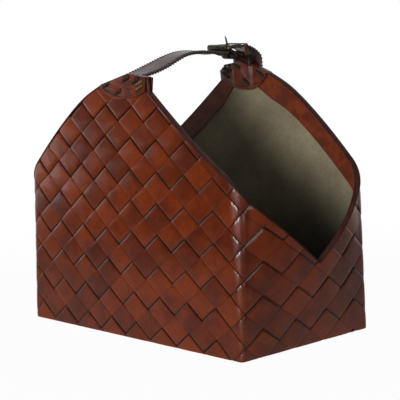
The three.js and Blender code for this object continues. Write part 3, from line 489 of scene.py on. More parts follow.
class Finish:
    """A material, or a world, that is being put together from shader nodes."""

    def __init__(self, owner):
        owner.use_nodes = True
        self.material, self.tree = owner, owner.node_tree
        self.tree.nodes.clear()

    def node(self, kind, settings=None, sockets=None, out=0):
        made = self.tree.nodes.new(kind)
        for name, value in (settings or {}).items():
            setattr(made, name, value)
        for name, value in (sockets or {}).items():
            if isinstance(value, Value):
                self.tree.links.new(value.socket, made.inputs[name])
            else:
                made.inputs[name].default_value = value
        return Value(self, made.outputs[out]) if made.outputs else None

    def mix(self, factor, first, second):
        settings = {"data_type": "RGBA", "clamp_factor": True}
        return self.node("ShaderNodeMix", settings, {0: factor, 6: first, 7: second}, out=2)

    def over(self, base, pattern, low, high, strength, colour):
        """A colour laid over the base where a pattern is strong."""
        return self.mix(self.between(pattern, low, high) * strength, base, colour)

    def place(self):
        return self.node("ShaderNodeTexCoord", out="Object")

    def part(self, vector, letter):
        return self.node("ShaderNodeSeparateXYZ", {}, {0: vector}, letter)

    def vector(self, operation, first, second=(0, 0, 0)):
        return self.node("ShaderNodeVectorMath", {"operation": operation}, {0: first, 1: second}, "Value")

    def stretched(self, place, scale):
        return self.node("ShaderNodeMapping", {}, {"Vector": place, "Scale": scale})

    def stretched_about(self, place, middle, slant, radii):
        """Coordinates that are 1 long at the surface of a slanted ellipsoid."""
        scale = [radius * MM for radius in radii]
        sockets = {"Vector": place, "Location": middle, "Rotation": (0, slant, 0), "Scale": scale}
        return self.node("ShaderNodeMapping", {"vector_type": "TEXTURE"}, sockets)

    def noise(self, place, scale, detail, roughness, distortion=0):
        sockets = {"Vector": place, "Scale": scale, "Detail": detail}
        sockets.update({"Roughness": roughness, "Distortion": distortion})
        return self.node("ShaderNodeTexNoise", {}, sockets, out="Fac")

    def bands(self, place, direction, scale):
        settings = {"wave_type": "BANDS", "bands_direction": direction}
        return self.node("ShaderNodeTexWave", settings, {"Vector": place, "Scale": scale})

    def pores(self, place, scale):
        return self.node("ShaderNodeTexVoronoi", {"feature": "F1"}, {"Vector": place, "Scale": scale})

    def between(self, value, low, high):
        """0 below low, 1 above high, and smooth between them."""
        sockets = {"Value": value, "From Min": low, "From Max": high}
        return self.node("ShaderNodeMapRange", {"interpolation_type": "SMOOTHSTEP"}, sockets)

    def tint(self):
        colour = self.node("ShaderNodeAttribute", {"attribute_name": "tint"}, out="Color")
        split = self.node("ShaderNodeSeparateColor", {}, {"Color": colour})
        return [Value(self, output) for output in split.socket.node.outputs]

    def bump(self, height, distance, strength, under=None):
        sockets = {"Height": height, "Distance": distance, "Strength": strength}
        if under is not None:
            sockets["Normal"] = under
        return self.node("ShaderNodeBump", {}, sockets)

    def surface(self, base, roughness, relief, **others):
        """Ends the material; the words of the other sockets are joined with _."""
        sockets = {"Base Color": base, "Roughness": roughness, "Normal": relief}
        sockets.update({name.replace("_", " "): value for name, value in others.items()})
        return self.end(self.node("ShaderNodeBsdfPrincipled", {}, sockets))

    def end(self, shader, kind="ShaderNodeOutputMaterial"):
        self.node(kind, {}, {"Surface": shader})
        return self.material


def dye(red, green, blue):
    """A colour as it looks on a screen, from 0 to 255, as the shader wants it."""
    shares = [value / 255 for value in (red, green, blue)]
    linear = [s / 12.92 if s <= 0.04045 else ((s + 0.055) / 1.055) ** 2.4 for s in shares]
    return (*linear, 1)


def plait_leather():
    """Dyed strips: each its own shade, clouded, burnished darker along its edges and near black on their
    open sides as painted shadow in the gaps, with a polished face.
    """
    finish = Finish(bpy.data.materials.new("plait_leather"))
    shade, redness, edge = finish.tint()
    place, grain = finish.place(), finish.node("ShaderNodeUVMap", {"uv_map": "grain"}, out="UV")
    clouds = finish.noise(place, 38, 3, 0.55)
    streaks = finish.noise(finish.stretched(grain, (0.05, 0.5, 1)), 1, 3, 0.6)
    scuffs = finish.noise(place, 160, 4, 0.65)
    shades = finish.between(shade * 0.32 + clouds * 0.95, 0.32, 0.95)
    base = finish.mix(shades, dye(128, 51, 14), dye(82, 29, 10))
    base = finish.over(base, redness + clouds * 0.3, 1.0, 1.25, 0.8, dye(82, 30, 20))
    base = finish.over(base, streaks, 0.5, 0.75, 0.4, dye(66, 25, 13))
    base = finish.over(base, scuffs, 0.58, 0.75, 0.35, dye(44, 17, 11))
    # Burnish darkens the edges all round; the near-black line on the open side is painted shadow
    base = finish.over(base, edge, 0.05, 0.8, 0.45, dye(46, 18, 11))
    base = finish.over(base, edge, 0.8, 1, 1, dye(16, 7, 6))
    creases = finish.noise(finish.stretched(grain, (0.35, 1.6, 1)), 1, 3, 0.6)
    relief = finish.bump(creases, 0.0006, 0.35, finish.bump(finish.pores(place, 900), 0.0002, 0.25))
    roughness = 0.2 + clouds * 0.14 + scuffs * 0.07
    coat = {"Specular_IOR_Level": 0.12, "Coat_Weight": 0.31, "Coat_Roughness": 0.09}
    return finish.surface(base, roughness, relief, **coat)


def painted_crease_shade(finish, place, from_middle):
    """A line pressed just above a tab's curved lower edge, as a band that is darkened with painted shade.
    """
    edge_rise = from_middle * 0.11 + from_middle * from_middle * 3.5
    above = finish.part(place, "Z") - TAB_BOTTOM * MM - edge_rise
    return finish.between(above, 1.4 * MM, 2.2 * MM) - finish.between(above, 2.6 * MM, 3.4 * MM)


def trim_leather(name, light, dark, roughness, sheen, cloud_scale=60, dark_past=None, painted_shade_wells=()):
    """Plain dyed leather, clouded, with pores and fine creases.

    It may be burnished dark past some distance from the middle plane, and darkened round stitch
    holes by painted shade, where painted shade also follows a creased line above the lower edge.
    """
    finish = Finish(bpy.data.materials.new(name))
    place = finish.place()
    clouds = finish.noise(place, cloud_scale, 3, 0.6)
    wear = finish.noise(place, 260, 4, 0.65)
    deep = tuple(c * 0.3 for c in dark[:3]) + (1,)
    base = finish.mix(finish.between(clouds, 0.32, 0.7), light, dark)
    base = finish.over(base, wear, 0.55, 0.75, 0.25, deep)
    if dark_past is not None:
        from_middle = abs(finish.part(place, "X"))
        base = finish.over(base, from_middle, dark_past * MM, (dark_past + 2.5) * MM, 1, deep)
    # Painted shade in the hollows round the stitch holes
    for middle, slant in painted_shade_wells:
        from_hole = finish.vector("LENGTH", finish.stretched_about(place, middle, slant, PAINTED_SHADE_WELL_RADII))
        base = finish.mix((1 - finish.between(from_hole, 0.7, 1)) * 0.92, base, deep)
    # Painted shade along the pressed line above the lower edge
    if painted_shade_wells:
        base = finish.mix(painted_crease_shade(finish, place, from_middle) * 0.85, base, deep)
    creases = finish.noise(place, 420, 3, 0.6, 1.2)
    relief = finish.bump(creases, 0.0004, 0.35, finish.bump(finish.pores(place, 1100), 0.00015, 0.3))
    coat = {"Specular_IOR_Level": 0.08 + 0.5 * sheen, "Coat_Weight": sheen, "Coat_Roughness": 0.2}
    return finish.surface(base, roughness + clouds * 0.14, relief, **coat)


def lining_cloth():
    """Suede-like cloth: a fine weave under a soft nap, soiled in clouds, and darkened towards the floor by
    painted shade.
    """
    finish = Finish(bpy.data.materials.new("lining_cloth"))
    place = finish.place()
    clouds = finish.noise(place, 14, 4, 0.6)
    nap = finish.noise(place, 240, 3, 0.7)
    # Painted shade: this mask and the mix below darken the cloth towards the floor
    low = 1 - finish.between(finish.part(place, "Z"), 0.02, 0.26)
    base = finish.mix(finish.between(clouds, 0.3, 0.72), dye(174, 162, 132), dye(141, 130, 105))
    base = finish.over(base, nap, 0.4, 0.7, 0.25, dye(98, 91, 73))
    base = finish.mix(low * 0.9, base, dye(36, 33, 26))
    relief = finish.bump(finish.bands(place, "Z", 320) * 0.5 + nap, 0.0003, 0.5)
    return finish.surface(base, 0.92, relief, Specular_IOR_Level=0.08, Sheen_Weight=0.05)


def fibre_board():
    finish = Finish(bpy.data.materials.new("fibre_board"))
    place = finish.place()
    flecks = finish.noise(place, 500, 3, 0.7)
    clouds = finish.noise(place, 20, 3, 0.5)
    base = finish.mix(finish.between(flecks, 0.35, 0.7), dye(168, 148, 112), dye(124, 104, 74))
    base = finish.over(base, clouds, 0.4, 0.7, 0.3, dye(110, 92, 66))
    return finish.surface(base, 0.88, finish.bump(flecks, 0.0003, 0.4))


def antique_metal():
    """Dark bronzed metal, rubbed lighter in places, with fine scratches."""
    finish = Finish(bpy.data.materials.new("antique_metal"))
    place = finish.place()
    clouds = finish.noise(place, 220, 4, 0.65)
    scratches = finish.noise(finish.stretched(place, (60, 900, 900)), 1, 3, 0.7)
    base = finish.mix(finish.between(clouds, 0.4, 0.65), dye(56, 48, 38), dye(98, 84, 64))
    base = finish.over(base, scratches, 0.55, 0.7, 0.4, dye(128, 112, 86))
    return finish.surface(base, 0.3 + clouds * 0.25, finish.bump(scratches, 0.0001, 0.3), Metallic=0.85)


def waxed_thread():
    finish = Finish(bpy.data.materials.new("waxed_thread"))
    twist = finish.bands(finish.place(), "DIAGONAL", 500)
    base = finish.mix(twist, dye(20, 12, 11), dye(34, 22, 18))
    return finish.surface(base, 0.55, finish.bump(twist, 0.0001, 0.4))


PLAIT = plait_leather()
# Near black: painted shadow in the gaps between the strips
PAINTED_SHADOW_GAP_LEATHER = trim_leather("painted_shadow_gap_leather", dye(22, 9, 7), dye(14, 6, 5), 0.7, 0)
BINDING = trim_leather("binding_leather", dye(70, 26, 16), dye(44, 16, 11), 0.45, 0.04)
FACING = trim_leather("facing_leather", dye(128, 55, 25), dye(92, 39, 21), 0.42, 0.1)
STRAP = trim_leather(
    "strap_leather", dye(100, 68, 65), dye(74, 49, 47), 0.32, 0.2, cloud_scale=90, dark_past=STRAP_DARK_EDGE
)
KEEPER = trim_leather("keeper_leather", dye(104, 48, 28), dye(56, 27, 20), 0.36, 0.2)
FOLD = trim_leather("fold_leather", dye(48, 24, 21), dye(30, 15, 14), 0.34, 0.2)
LACING = trim_leather("lacing_leather", dye(64, 58, 38), dye(36, 33, 22), 0.5, 0.05, cloud_scale=300)
PALE_LACING = trim_leather(
    "pale_lacing_leather", dye(128, 98, 58), dye(92, 68, 40), 0.5, 0.05, cloud_scale=300
)
UNDERSIDE = trim_leather("underside_leather", dye(88, 42, 26), dye(60, 28, 19), 0.5, 0.05)
CLOTH = lining_cloth()
BOARD = fibre_board()
METAL = antique_metal()
THREAD = waxed_thread()


# Plait


def strip_depth(lengthwise, crosswise, open_side):
    """How deep a strip's face lies: crowned across, and diving at its ends under its neighbours.

    The open side is the one where it stands off its neighbours with a dark gap.
    """
    end, edge = np.abs(lengthwise), np.abs(crosswise)
    at_gap, at_open_edge = (smoothstep(way * open_side, -0.2, 0.2) for way in (lengthwise, crosswise))
    dive = (STRIP_DIVE + OPEN_SIDE_EXTRA * at_gap) * smoothstep(end, 0.84, 1)
    lip = (STRIP_LIP + OPEN_SIDE_EXTRA * at_open_edge) * smoothstep(edge, 0.9, 1)
    return STRIP_CROWN * crosswise**2 + lip + STRIP_DROP * end**2 + dive


def foot_depth(height):
    """The wall's lower edge is rounded."""
    below = np.clip(FOOT_RADIUS - height, 0, FOOT_RADIUS)
    return FOOT_RADIUS - np.sqrt(FOOT_RADIUS**2 - below**2)


def leaf_sides(rising, open_side, shares):
    """Where a leaf's points lie both ways between its neighbours, with gaps that vary."""
    sides = []
    for open_gap in (END_GAP, EDGE_GAP) if rising else (EDGE_GAP, END_GAP):
        low_gap, high_gap = (CLOSED_GAP, open_gap) if open_side > 0 else (open_gap, CLOSED_GAP)
        low = -1 + low_gap * rng.uniform(*GAP_SPREAD_SHARES)
        high = 1 - high_gap * rng.uniform(*GAP_SPREAD_SHARES)
        sides.append(low + (high - low) * (shares + 1) / 2)
    return sides


def closed_leaf(quads, bent):
    """The faces of a leaf with its sides and underside, and the grid places on its face and under it.

    A bent leaf is as fine under it as on its face. Another is closed there by its outline alone.
    """
    directed = {(quad[k], quad[(k + 1) % 4]) for quad in quads for k in range(4)}
    following = {u: v for u, v in directed if (v, u) not in directed}
    used = sorted({corner for quad in quads for corner in quad})
    place = {corner: k for k, corner in enumerate(used)}
    below = used if bent else list(following)
    under = {corner: len(used) + k for k, corner in enumerate(below)}
    faces = [tuple(place[c] for c in quad) for quad in quads]
    faces += [(place[v], place[u], under[u], under[v]) for u, v in following.items()]
    if bent:
        faces += [tuple(under[c] for c in reversed(quad)) for quad in quads]
        return faces, used, below
    left = set(following)
    while left:
        loop = [left.pop()]
        while following[loop[-1]] != loop[0]:
            loop.append(following[loop[-1]])
            left.discard(loop[-1])
        faces.append(tuple(under[c] for c in reversed(loop)))
    return faces, used, below


def crossing(i, j):
    """One visible stretch of a strip, as a closed leaf, or nothing where it lies off the wall."""
    rising = j % 2 == 1
    on_long_side = (i + FIRST_CROSSING) % CROSSINGS < SIDE_COLUMNS
    open_side = 1 if rising == on_long_side else -1
    from_peak = column_along(i + FIRST_CROSSING) % HALF_TURN
    bent = abs(min(from_peak, HALF_TURN - from_peak) - HALF_LENGTH) < BENT_WITHIN
    shares = BENT_LEAF_SHARES if bent else LEAF_SHARES
    sides = leaf_sides(rising, open_side, shares)
    tilt = rng.uniform(-STRIP_TILT, STRIP_TILT, 2)
    shade, redness = rng.uniform(0, 1, 2)
    shift = rng.uniform(-GRAIN_SHIFT, GRAIN_SHIFT, 2)
    s, t = np.meshgrid(*sides, indexing="ij")
    share_s, share_t = np.meshgrid(shares, shares, indexing="ij")
    column = i + FIRST_CROSSING + (s - t) / 2
    along, height = column_along(column), row_height(column, j + (s + t) / 2)
    top = layer_top(along)
    above, below = height > top, height < LOWEST
    height = np.clip(height, LOWEST, top)
    lengthwise, crosswise = (share_s, share_t) if rising else (share_t, share_s)
    depth = strip_depth(lengthwise, crosswise, open_side) + tilt[0] * share_s + tilt[1] * share_t
    depth = np.minimum(depth + STRIP_INSET + foot_depth(height), STRIP_DEPTH - STRIP_EDGE)
    face = wall_point(along, height, depth).reshape(-1, 3)
    under = wall_point(along, height, STRIP_DEPTH).reshape(-1, 3)
    size = len(shares)
    quads = []
    for a in range(size - 1):
        for b in range(size - 1):
            corners = [(a, b), (a + 1, b), (a + 1, b + 1), (a, b + 1)]
            if not (all(above[c] for c in corners) or all(below[c] for c in corners)):
                quads.append(tuple(c[0] * size + c[1] for c in corners))
    if len(quads) < 3:
        return None
    faces, on_face, under_face = closed_leaf(quads, bent)
    kept = on_face + under_face
    points = np.concatenate([face[on_face], under[under_face]])
    lengthwise, crosswise = lengthwise.ravel()[kept], crosswise.ravel()[kept]
    # Edge mask: burnish all round, and painted shadow in the gap on the open side
    at_end, at_edge = smoothstep(lengthwise * open_side, 0.8, 1), smoothstep(crosswise * open_side, 0.86, 1)
    all_round = smoothstep(np.maximum(np.abs(lengthwise), np.abs(crosswise)), 0.92, 1)
    edge = np.maximum(np.maximum(at_end, 0.8 * at_edge), 0.55 * all_round)
    edge[len(on_face):] = 1
    grain = np.stack([lengthwise * HALF_STRIP + shift[0], crosswise * HALF_STRIP + shift[1]], axis=-1)
    same = np.ones(len(kept))
    tint = np.stack([shade * same, redness * same, edge, same], axis=-1)
    return points, faces, grain, tint


def plaited_wall():
    rows = range(LOWEST_ROW, HIGHEST_ROW + 1)
    leaves = [crossing(i, j) for j in rows for i in range(2 * CROSSINGS) if (i + j) % 2]
    leaves = [leaf for leaf in leaves if leaf is not None]
    piece = piece_from("plaited_wall", *merged([leaf[:2] for leaf in leaves]))
    grain, tint = (np.concatenate([leaf[k] for leaf in leaves]).astype(np.float32) for k in (2, 3))
    index = np.empty(len(piece.data.loops), np.int32)
    piece.data.loops.foreach_get("vertex_index", index)
    piece.data.uv_layers.new(name="grain").data.foreach_set("uv", grain[index].ravel())
    colours = piece.data.color_attributes.new(name="tint", type="FLOAT_COLOR", domain="POINT")
    colours.data.foreach_set("color", tint.ravel())
    soften(piece, 40)
    return give(piece, PLAIT, stands_for=["woven_shell"])


def wall_columns(pitch):
    """Distances round the whole wall, with the steps of both peaks among them."""
    around_peak = (-PEAK_HALF, -PEAK_OUTER, PEAK_HALF, PEAK_OUTER)
    steps = [turn * HALF_TURN + way for turn in (0, 1) for way in around_peak]
    even = np.arange(-HALF_LENGTH, 2 * HALF_TURN - HALF_LENGTH, pitch)
    fixed = steps + [NOTCH_ALONG, NOTCH_ALONG + HALF_TURN]
    between = [value for value in even if min(abs(value - f) for f in fixed) > pitch / 3]
    return np.array(sorted(between + fixed))


def wall_band(pitch, rows, outer, inner, bottom, top):
    """A closed layer of the wall from its two depths, and the edges that it lies between.

    A depth is a number or a function of the place, and an edge is a function of the way along.
    """
    columns = wall_columns(pitch)
    along = np.repeat(columns[:, None], rows + 1, axis=1)
    low, high = bottom(columns)[:, None], top(columns)[:, None]
    height = low + (high - low) * np.linspace(0, 1, rows + 1)
    sides = [wall_point(along, height, d(along, height) if callable(d) else d) for d in (outer, inner)]
    return sweep(list(np.concatenate([sides[0], sides[1][:, ::-1]], axis=1)), True)


def level(height):
    return lambda along: np.full_like(along, height)


def plait_backing():
    """The crossings' lower strips, which show only as the dark ground of the gaps; their near-black colour
    is painted shadow.
    """
    def outside(along, height):
        return STRIP_DEPTH - BACKING_OVERLAP + foot_depth(height)

    def top(along):
        return layer_top(along) - BACKING_DROP

    band = wall_band(BACKING_PITCH, BACKING_ROWS, outside, PLAIT_THICKNESS, level(LOWEST), top)
    return give(shell("plait_backing", *band), PAINTED_SHADOW_GAP_LEATHER)


# Lining, facing, rim and base


def wall_lining():
    """Cloth that is glued down and lies a little uneven."""
    def inside(along, height):
        waves = np.sin(along * 0.05 + height * 0.021) + np.sin(along * 0.113 - height * 0.037 + 1.3)
        fade = smoothstep(facing_bottom(along) - height, 0, 25) * smoothstep(height, LINING_FOOT, 30)
        return LINING_INSET + LINING_THICKNESS + (CLOTH_LIFT + CLOTH_WAVE * waves) * fade

    def outside(along, height):
        return inside(along, height) - LINING_THICKNESS

    def top(along):
        return layer_top(along) - LINING_SET_BACK

    band = wall_band(LINING_PITCH, LINING_ROWS, outside, inside, level(LINING_BOTTOM), top)
    piece = give(shell("lining_of_the_wall", *band), CLOTH, stands_for=["wall_lining"])
    return piece


def rim_facing():
    band = wall_band(FACING_PITCH, FACING_ROWS, FACING_INSET, STACK, facing_bottom, layer_top)
    return give(shell("facing_inside_the_rim", *band), FACING, stands_for=["rim_facing"])


def rim_binding(name, node, peak_along):
    """A strip of thin leather rolled over the rim, up to the corners of both peaks."""
    columns = wall_columns(BINDING_PITCH)
    columns = np.concatenate([columns, columns + 2 * HALF_TURN])
    first, last = peak_along + PEAK_HALF, peak_along + HALF_TURN - PEAK_HALF
    columns = columns[(columns >= first) & (columns <= last)]
    path = np.stack([columns, rim_height(columns)], axis=-1)
    step = np.linspace(path[0], path[1], 6)[:-1]
    path = np.concatenate([step, path[1:]])
    ahead = unit(np.diff(path, axis=0))
    tangent = unit(np.concatenate([ahead[:1], ahead[:-1] + ahead[1:], ahead[-1:]]))
    into = np.stack([tangent[:, 1], -tangent[:, 0]], axis=-1)
    middle, reach = STACK / 2, STACK / 2 + BINDING_OVERHANG
    angles = np.linspace(math.pi, 0, 13)
    depth = middle + reach * np.cos(angles)
    drop = BINDING_DEPTH * (1 - np.sin(angles) ** BINDING_SQUARENESS)
    rings = [
        wall_point(at[0] + drop * down[0], at[1] + drop * down[1], depth)
        for at, down in zip(path, into)
    ]
    return give(shell(name, *sweep(rings, False), 50), BINDING, stands_for=[node])


def seam_stitch():
    """One stitch of thread, 1 long: a short capsule along X that dips at both ends."""
    line = [(-0.5, 0, -0.35), (-0.38, 0, 0.1), (0, 0, 0.2), (0.38, 0, 0.1), (0.5, 0, -0.35)]
    return sweep(tube_rings(line, [0.1, 0.17, 0.18, 0.17, 0.1], THREAD_SIDES, (0, 1, 0)), False)


def spaced(line, pitch):
    """Points along a line at an even pitch, with their directions."""
    way = way_along(line)
    places = np.arange(pitch / 2, way[-1], pitch)

    def at(shift):
        return np.stack([np.interp(places + shift, way, line[:, k]) for k in range(3)], axis=-1)

    return at(0), unit(at(0.5) - at(-0.5))


def facing_seam():
    """The thread that holds the facing's lower edge to the lining."""
    points, faces = seam_stitch()
    parts = []
    for turn in (0, 1):
        for first, last in ((-PEAK_OUTER, PEAK_OUTER), (PEAK_OUTER + 1, HALF_TURN - PEAK_OUTER - 1)):
            along = np.arange(first, last, 2.0) + turn * HALF_TURN
            height = facing_bottom(along) + SEAM_RISE
            line = wall_point(along, height, STACK)
            inwards = wall_point(along, height, STACK + 1) - line
            centres, directions = spaced(line, SEAM_PITCH)
            outwards = inwards[np.linspace(0, len(line) - 1, len(centres)).astype(int)]
            outwards = unit(outwards - np.sum(outwards * directions, axis=1)[:, None] * directions)
            for centre, direction, outward in zip(centres, directions, outwards):
                axes = np.stack([direction, np.cross(outward, direction), outward])
                parts.append((centre + (points * SEAM_STITCH) @ axes, faces))
    return give(shell("facing_seam", *merged(parts), 60), THREAD)


def floor_cloth():
    """The lining of the floor: a cut sheet with a soft rounded edge, lying a little uneven."""
    outline = wall_point(wall_columns(FLOOR_PITCH), FLOOR_LEVEL, FLOOR_CLOTH_INSET)
    rings = []
    for share, rise in FLOOR_CLOTH_RINGS:
        ring = outline * (share, share, 1)
        uneven = np.sin(ring[:, 0] * 0.06) * np.cos(ring[:, 1] * 0.08) * (rise > 0.7)
        ring[:, 2] = FLOOR_LEVEL + FLOOR_CLOTH_GAP + rise + FLOOR_CLOTH_WAVE * uneven
        rings.append(ring)
    piece = shell("lining_of_the_floor", *sweep(rings, False))
    give(piece, CLOTH, stands_for=["floor_lining"])
    return piece


def dress(node, finish):
    """Gives a solid that stays a finish of its own."""
    materials = nodes[node].data.materials
    materials.clear()
    materials.append(finish)


# Tabs and lacing


def tabs_and_lacing(peak, slant):
    """A peak's two tabs, with painted shade round their stitch holes, and its stitches."""
    holes = []
    for number in range(1, STITCHES + 1):
        low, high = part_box(f"{peak}_stitch_{number}")
        holes.append(((Vector(low) + Vector(high)) / 2, slant))
    name, light, dark = f"{peak}_tab_leather", dye(116, 52, 32), dye(76, 33, 23)
    leather = trim_leather(name, light, dark, 0.34, 0.22, dark_past=TAB_DARK_EDGE, painted_shade_wells=holes)
    for tab in (f"{peak}_outer_tab", f"{peak}_inner_tab"):
        give(bevelled_copy(tab + "_leather", tab, TAB_EDGE, 3), leather, stands_for=[tab])
    for number in range(1, STITCHES + 1):
        node = f"{peak}_stitch_{number}"
        finish = PALE_LACING if peak == "front" and number >= FIRST_PALE_STITCH else LACING
        give(bevelled_copy(node + "_thong", node, THONG_EDGE), finish, stands_for=[node])


# Strap and fold: their paths lie in the plane across the basket, as places along Y and Z

TAB_MIDDLE = (TAB_BOTTOM + FRONT_PEAK["crest"]) / 2
PEAK_FOOT, PEAK_CREST = wall_point(0, np.array([TAB_BOTTOM, FRONT_PEAK["crest"]]), 0)
PEAK_LEAN = math.atan2(PEAK_CREST[1] - PEAK_FOOT[1], PEAK_CREST[2] - PEAK_FOOT[2])
PEAK_Y = float(wall_point(0, TAB_MIDDLE, 0)[1])


def peak_point(depth, height):
    """A place on the front peak's leaning plane, at a depth from its outside."""
    rise = height - TAB_MIDDLE
    y = PEAK_Y + depth * math.cos(PEAK_LEAN) + rise * math.sin(PEAK_LEAN)
    return np.array([y, height - depth * math.sin(PEAK_LEAN)])


def wall_reach(inset, sign):
    """How far the curved wall stands past that plane."""
    heights = (TAB_BOTTOM, TAB_MIDDLE, BACK_PEAK["crest"])
    places = [(x, height) for x in (0, TAB_HALF / 2, TAB_HALF) for height in heights]
    past = [float(wall_point(x, height, inset)[1]) - peak_point(inset, height)[0] for x, height in places]
    return max(0, *(sign * value for value in past))


OUTER_STAND_OFF = wall_reach(0, -1) + CLEARANCE
INNER_STAND_OFF = STACK + wall_reach(STACK, 1) + CLEARANCE


def held_in_front(height):
    return peak_point(INNER_STAND_OFF + STRAP_THICKNESS / 2, height)


def on_back_peak(depth, height):
    return peak_point(depth, height) * (-1, 1)


def around_axis(y, z, radius, degrees):
    angle = math.radians(degrees)
    return np.array([y + radius * math.cos(angle), z + radius * math.sin(angle)])


HANDLE_START = held_in_front(STRAP_BEND_HEIGHT)
BEND = [HANDLE_START + np.array(share) * STRAP_THICKNESS for share in BEND_SHARES]
ARC_START = BEND[-1]
ARC_RUN = ROLLER_Y - ARC_START[0]
ROLLER_Z = ARC_START[1] + HANDLE_RISE * ROLLER_RISE_SHARE + ROLLER_WRAP


def handle_path():
    outside = OUTER_STAND_OFF + TAB_THICKNESS + CLEARANCE + STRAP_THICKNESS / 2
    return [
        held_in_front(STRAP_END_HEIGHT),
        held_in_front((STRAP_END_HEIGHT + STRAP_BEND_HEIGHT) / 2),
        HANDLE_START,
        *BEND,
        *(ARC_START + np.array([ARC_RUN * way, HANDLE_RISE * rise]) for way, rise in ARC_SHARES),
        *(around_axis(ROLLER_Y, ROLLER_Z, ROLLER_WRAP, degrees) for degrees in WRAP_DEGREES),
        *(
            (ROLLER_Y + way * ROLLER_WRAP, STRAP_LIFT - drop * STRAP_THICKNESS)
            for way, drop in LEVEL_SHARES
        ),
        *(
            on_back_peak(-outside - out * STRAP_THICKNESS, STRAP_LIFT - drop * STRAP_THICKNESS)
            for out, drop in TIP_FALL_SHARES
        ),
        on_back_peak(
            -outside - TIP_BULGE_SHARE * STRAP_THICKNESS, (BACK_PEAK["low"] + STRAP_TIP_HEIGHT) / 2
        ),
        on_back_peak(-outside, STRAP_TIP_HEIGHT),
    ]


def fold_path():
    inside = INNER_STAND_OFF + FOLD_THICKNESS / 2
    lower = FRAME_REAR_Z - FOLD_WRAP
    upper = lower + FOLD_THICKNESS + KEEPER_THICKNESS + 2 * CLEARANCE
    keeper = FRAME_REAR_Y + ROD_RADIUS + KEEPER_SET_BACK + KEEPER_DEPTH / 2
    leave = on_back_peak(inside, BACK_PEAK["crest"] + FOLD_LEAVE_SHARE * FOLD_THICKNESS)
    turn = (leave[0] - keeper) * FOLD_TURN_SHARE
    return [
        (keeper + FOLD_END_SHARE * KEEPER_DEPTH, lower - CLEARANCE),
        (keeper, lower),
        (FRAME_REAR_Y + FOLD_WRAP, lower - CLEARANCE / 2),
        *(around_axis(FRAME_REAR_Y, FRAME_REAR_Z, FOLD_WRAP, degrees) for degrees in FOLD_DEGREES),
        (keeper - KEEPER_DEPTH / 2, upper + CLEARANCE),
        (keeper + FOLD_LEVEL_SHARE * KEEPER_DEPTH, upper),
        (keeper + turn, upper - FOLD_SAG_SHARE * FOLD_THICKNESS),
        leave,
        on_back_peak(inside, (BACK_PEAK["crest"] + FOLD_END_HEIGHT) / 2),
        on_back_peak(inside, FOLD_END_HEIGHT),
    ]


def strap_line(path, steps):
    """Places along a strap's middle line, and its directions there."""
    shares = np.linspace(0, 1, steps + 1)
    return spline(path, shares), unit(spline(path, shares + 1e-4) - spline(path, shares - 1e-4))


def strap_axes(along, twist=0):
    """Directions forwards along a strap, across it and out of its upper face."""
    forward = np.array([0, along[0], along[1]])
    across, up = np.array([1.0, 0, 0]), np.array([0, -along[1], along[0]])
    cos, sin = math.cos(twist), math.sin(twist)
    return forward, *(axis * cos + np.cross(forward, axis) * sin for axis in (across, up))


def strap_section(width, thickness, crown):
    """Places across and above the middle: a flat strap with rounded edges and a slight crown."""
    round_off = min(STRAP_ROUND, width / 3)
    half, flat = width / 2, thickness / 2
    outline = []
    for side in (1, -1):
        for degrees in np.linspace(-90, 90, 7):
            angle = math.radians(degrees) * side
            x = side * (half - round_off + round_off * math.cos(angle))
            outline.append((x, side * flat * math.sin(math.radians(degrees))))
        for share in (0.6, 0.2, -0.2, -0.6):
            outline.append((side * share * (half - round_off), side * (flat + crown * (1 - share**2))))
    return np.array(outline)


HANDLE = handle_path()
HANDLE_LINE, HANDLE_AHEAD = strap_line(HANDLE, FINE_STEPS)
HANDLE_WAY = way_along(HANDLE_LINE)


def handle_width(point):
    past = 1 - min(np.linalg.norm(point - HANDLE[-1]) / STRAP_TIP_LENGTH, 1)
    return STRAP_WIDTH * math.sqrt(1 - (past * TIP_ROUND_SHARE) ** 2)


def handle_twist(point):
    past = np.clip((point[0] - ARC_START[0]) / (ARC_RUN * TWIST_RUN_SHARE), 0, 1)
    return STRAP_TWIST * math.sin(past * math.pi)


def handle_reaches(y):
    """How far along the handle it first reaches a place across the basket."""
    return HANDLE_WAY[np.argmax(HANDLE_LINE[:, 0] >= y)]


def handle_at(way):
    index = int(np.searchsorted(HANDLE_WAY, way))
    return HANDLE_LINE[index], HANDLE_AHEAD[index]


def sweep_strap(name, path, steps, section_at, twist_at):
    rings = []
    for point, along in zip(*strap_line(path, steps)):
        _, across, up = strap_axes(along, twist_at(point))
        section = section_at(point)
        rings.append(np.array([0, *point]) + section[:, :1] * across + section[:, 1:] * up)
    piece = piece_from(name, *sweep(rings, False))
    turned_out(piece)
    return piece


def handle_strap():
    def section(point):
        return strap_section(handle_width(point), STRAP_THICKNESS, STRAP_CROWN)

    piece = sweep_strap("handle_strap_leather", HANDLE, HANDLE_STEPS, section, handle_twist)
    first = handle_reaches(FRAME_REAR_Y - PRONG_EXIT_REACH + HOLE_SET_BACK)
    for number in range(HOLE_COUNT):
        place, ahead = handle_at(first + HOLE_PITCH * number)
        only(piece)
        bpy.ops.mesh.primitive_cylinder_add(
            vertices=HOLE_SIDES,
            radius=1,
            depth=STRAP_THICKNESS * 3 * MM,
            location=(0, place[0] * MM, place[1] * MM),
            rotation=(math.atan2(ahead[1], ahead[0]), 0, 0),
        )
        cutter = bpy.context.object
        cutter.scale = (HOLE_WIDTH / 2 * MM, HOLE_LENGTH / 2 * MM, 1)
        cut_with(piece, cutter)
    soften(piece, 45)
    return give(piece, STRAP, stands_for=["handle_strap"])


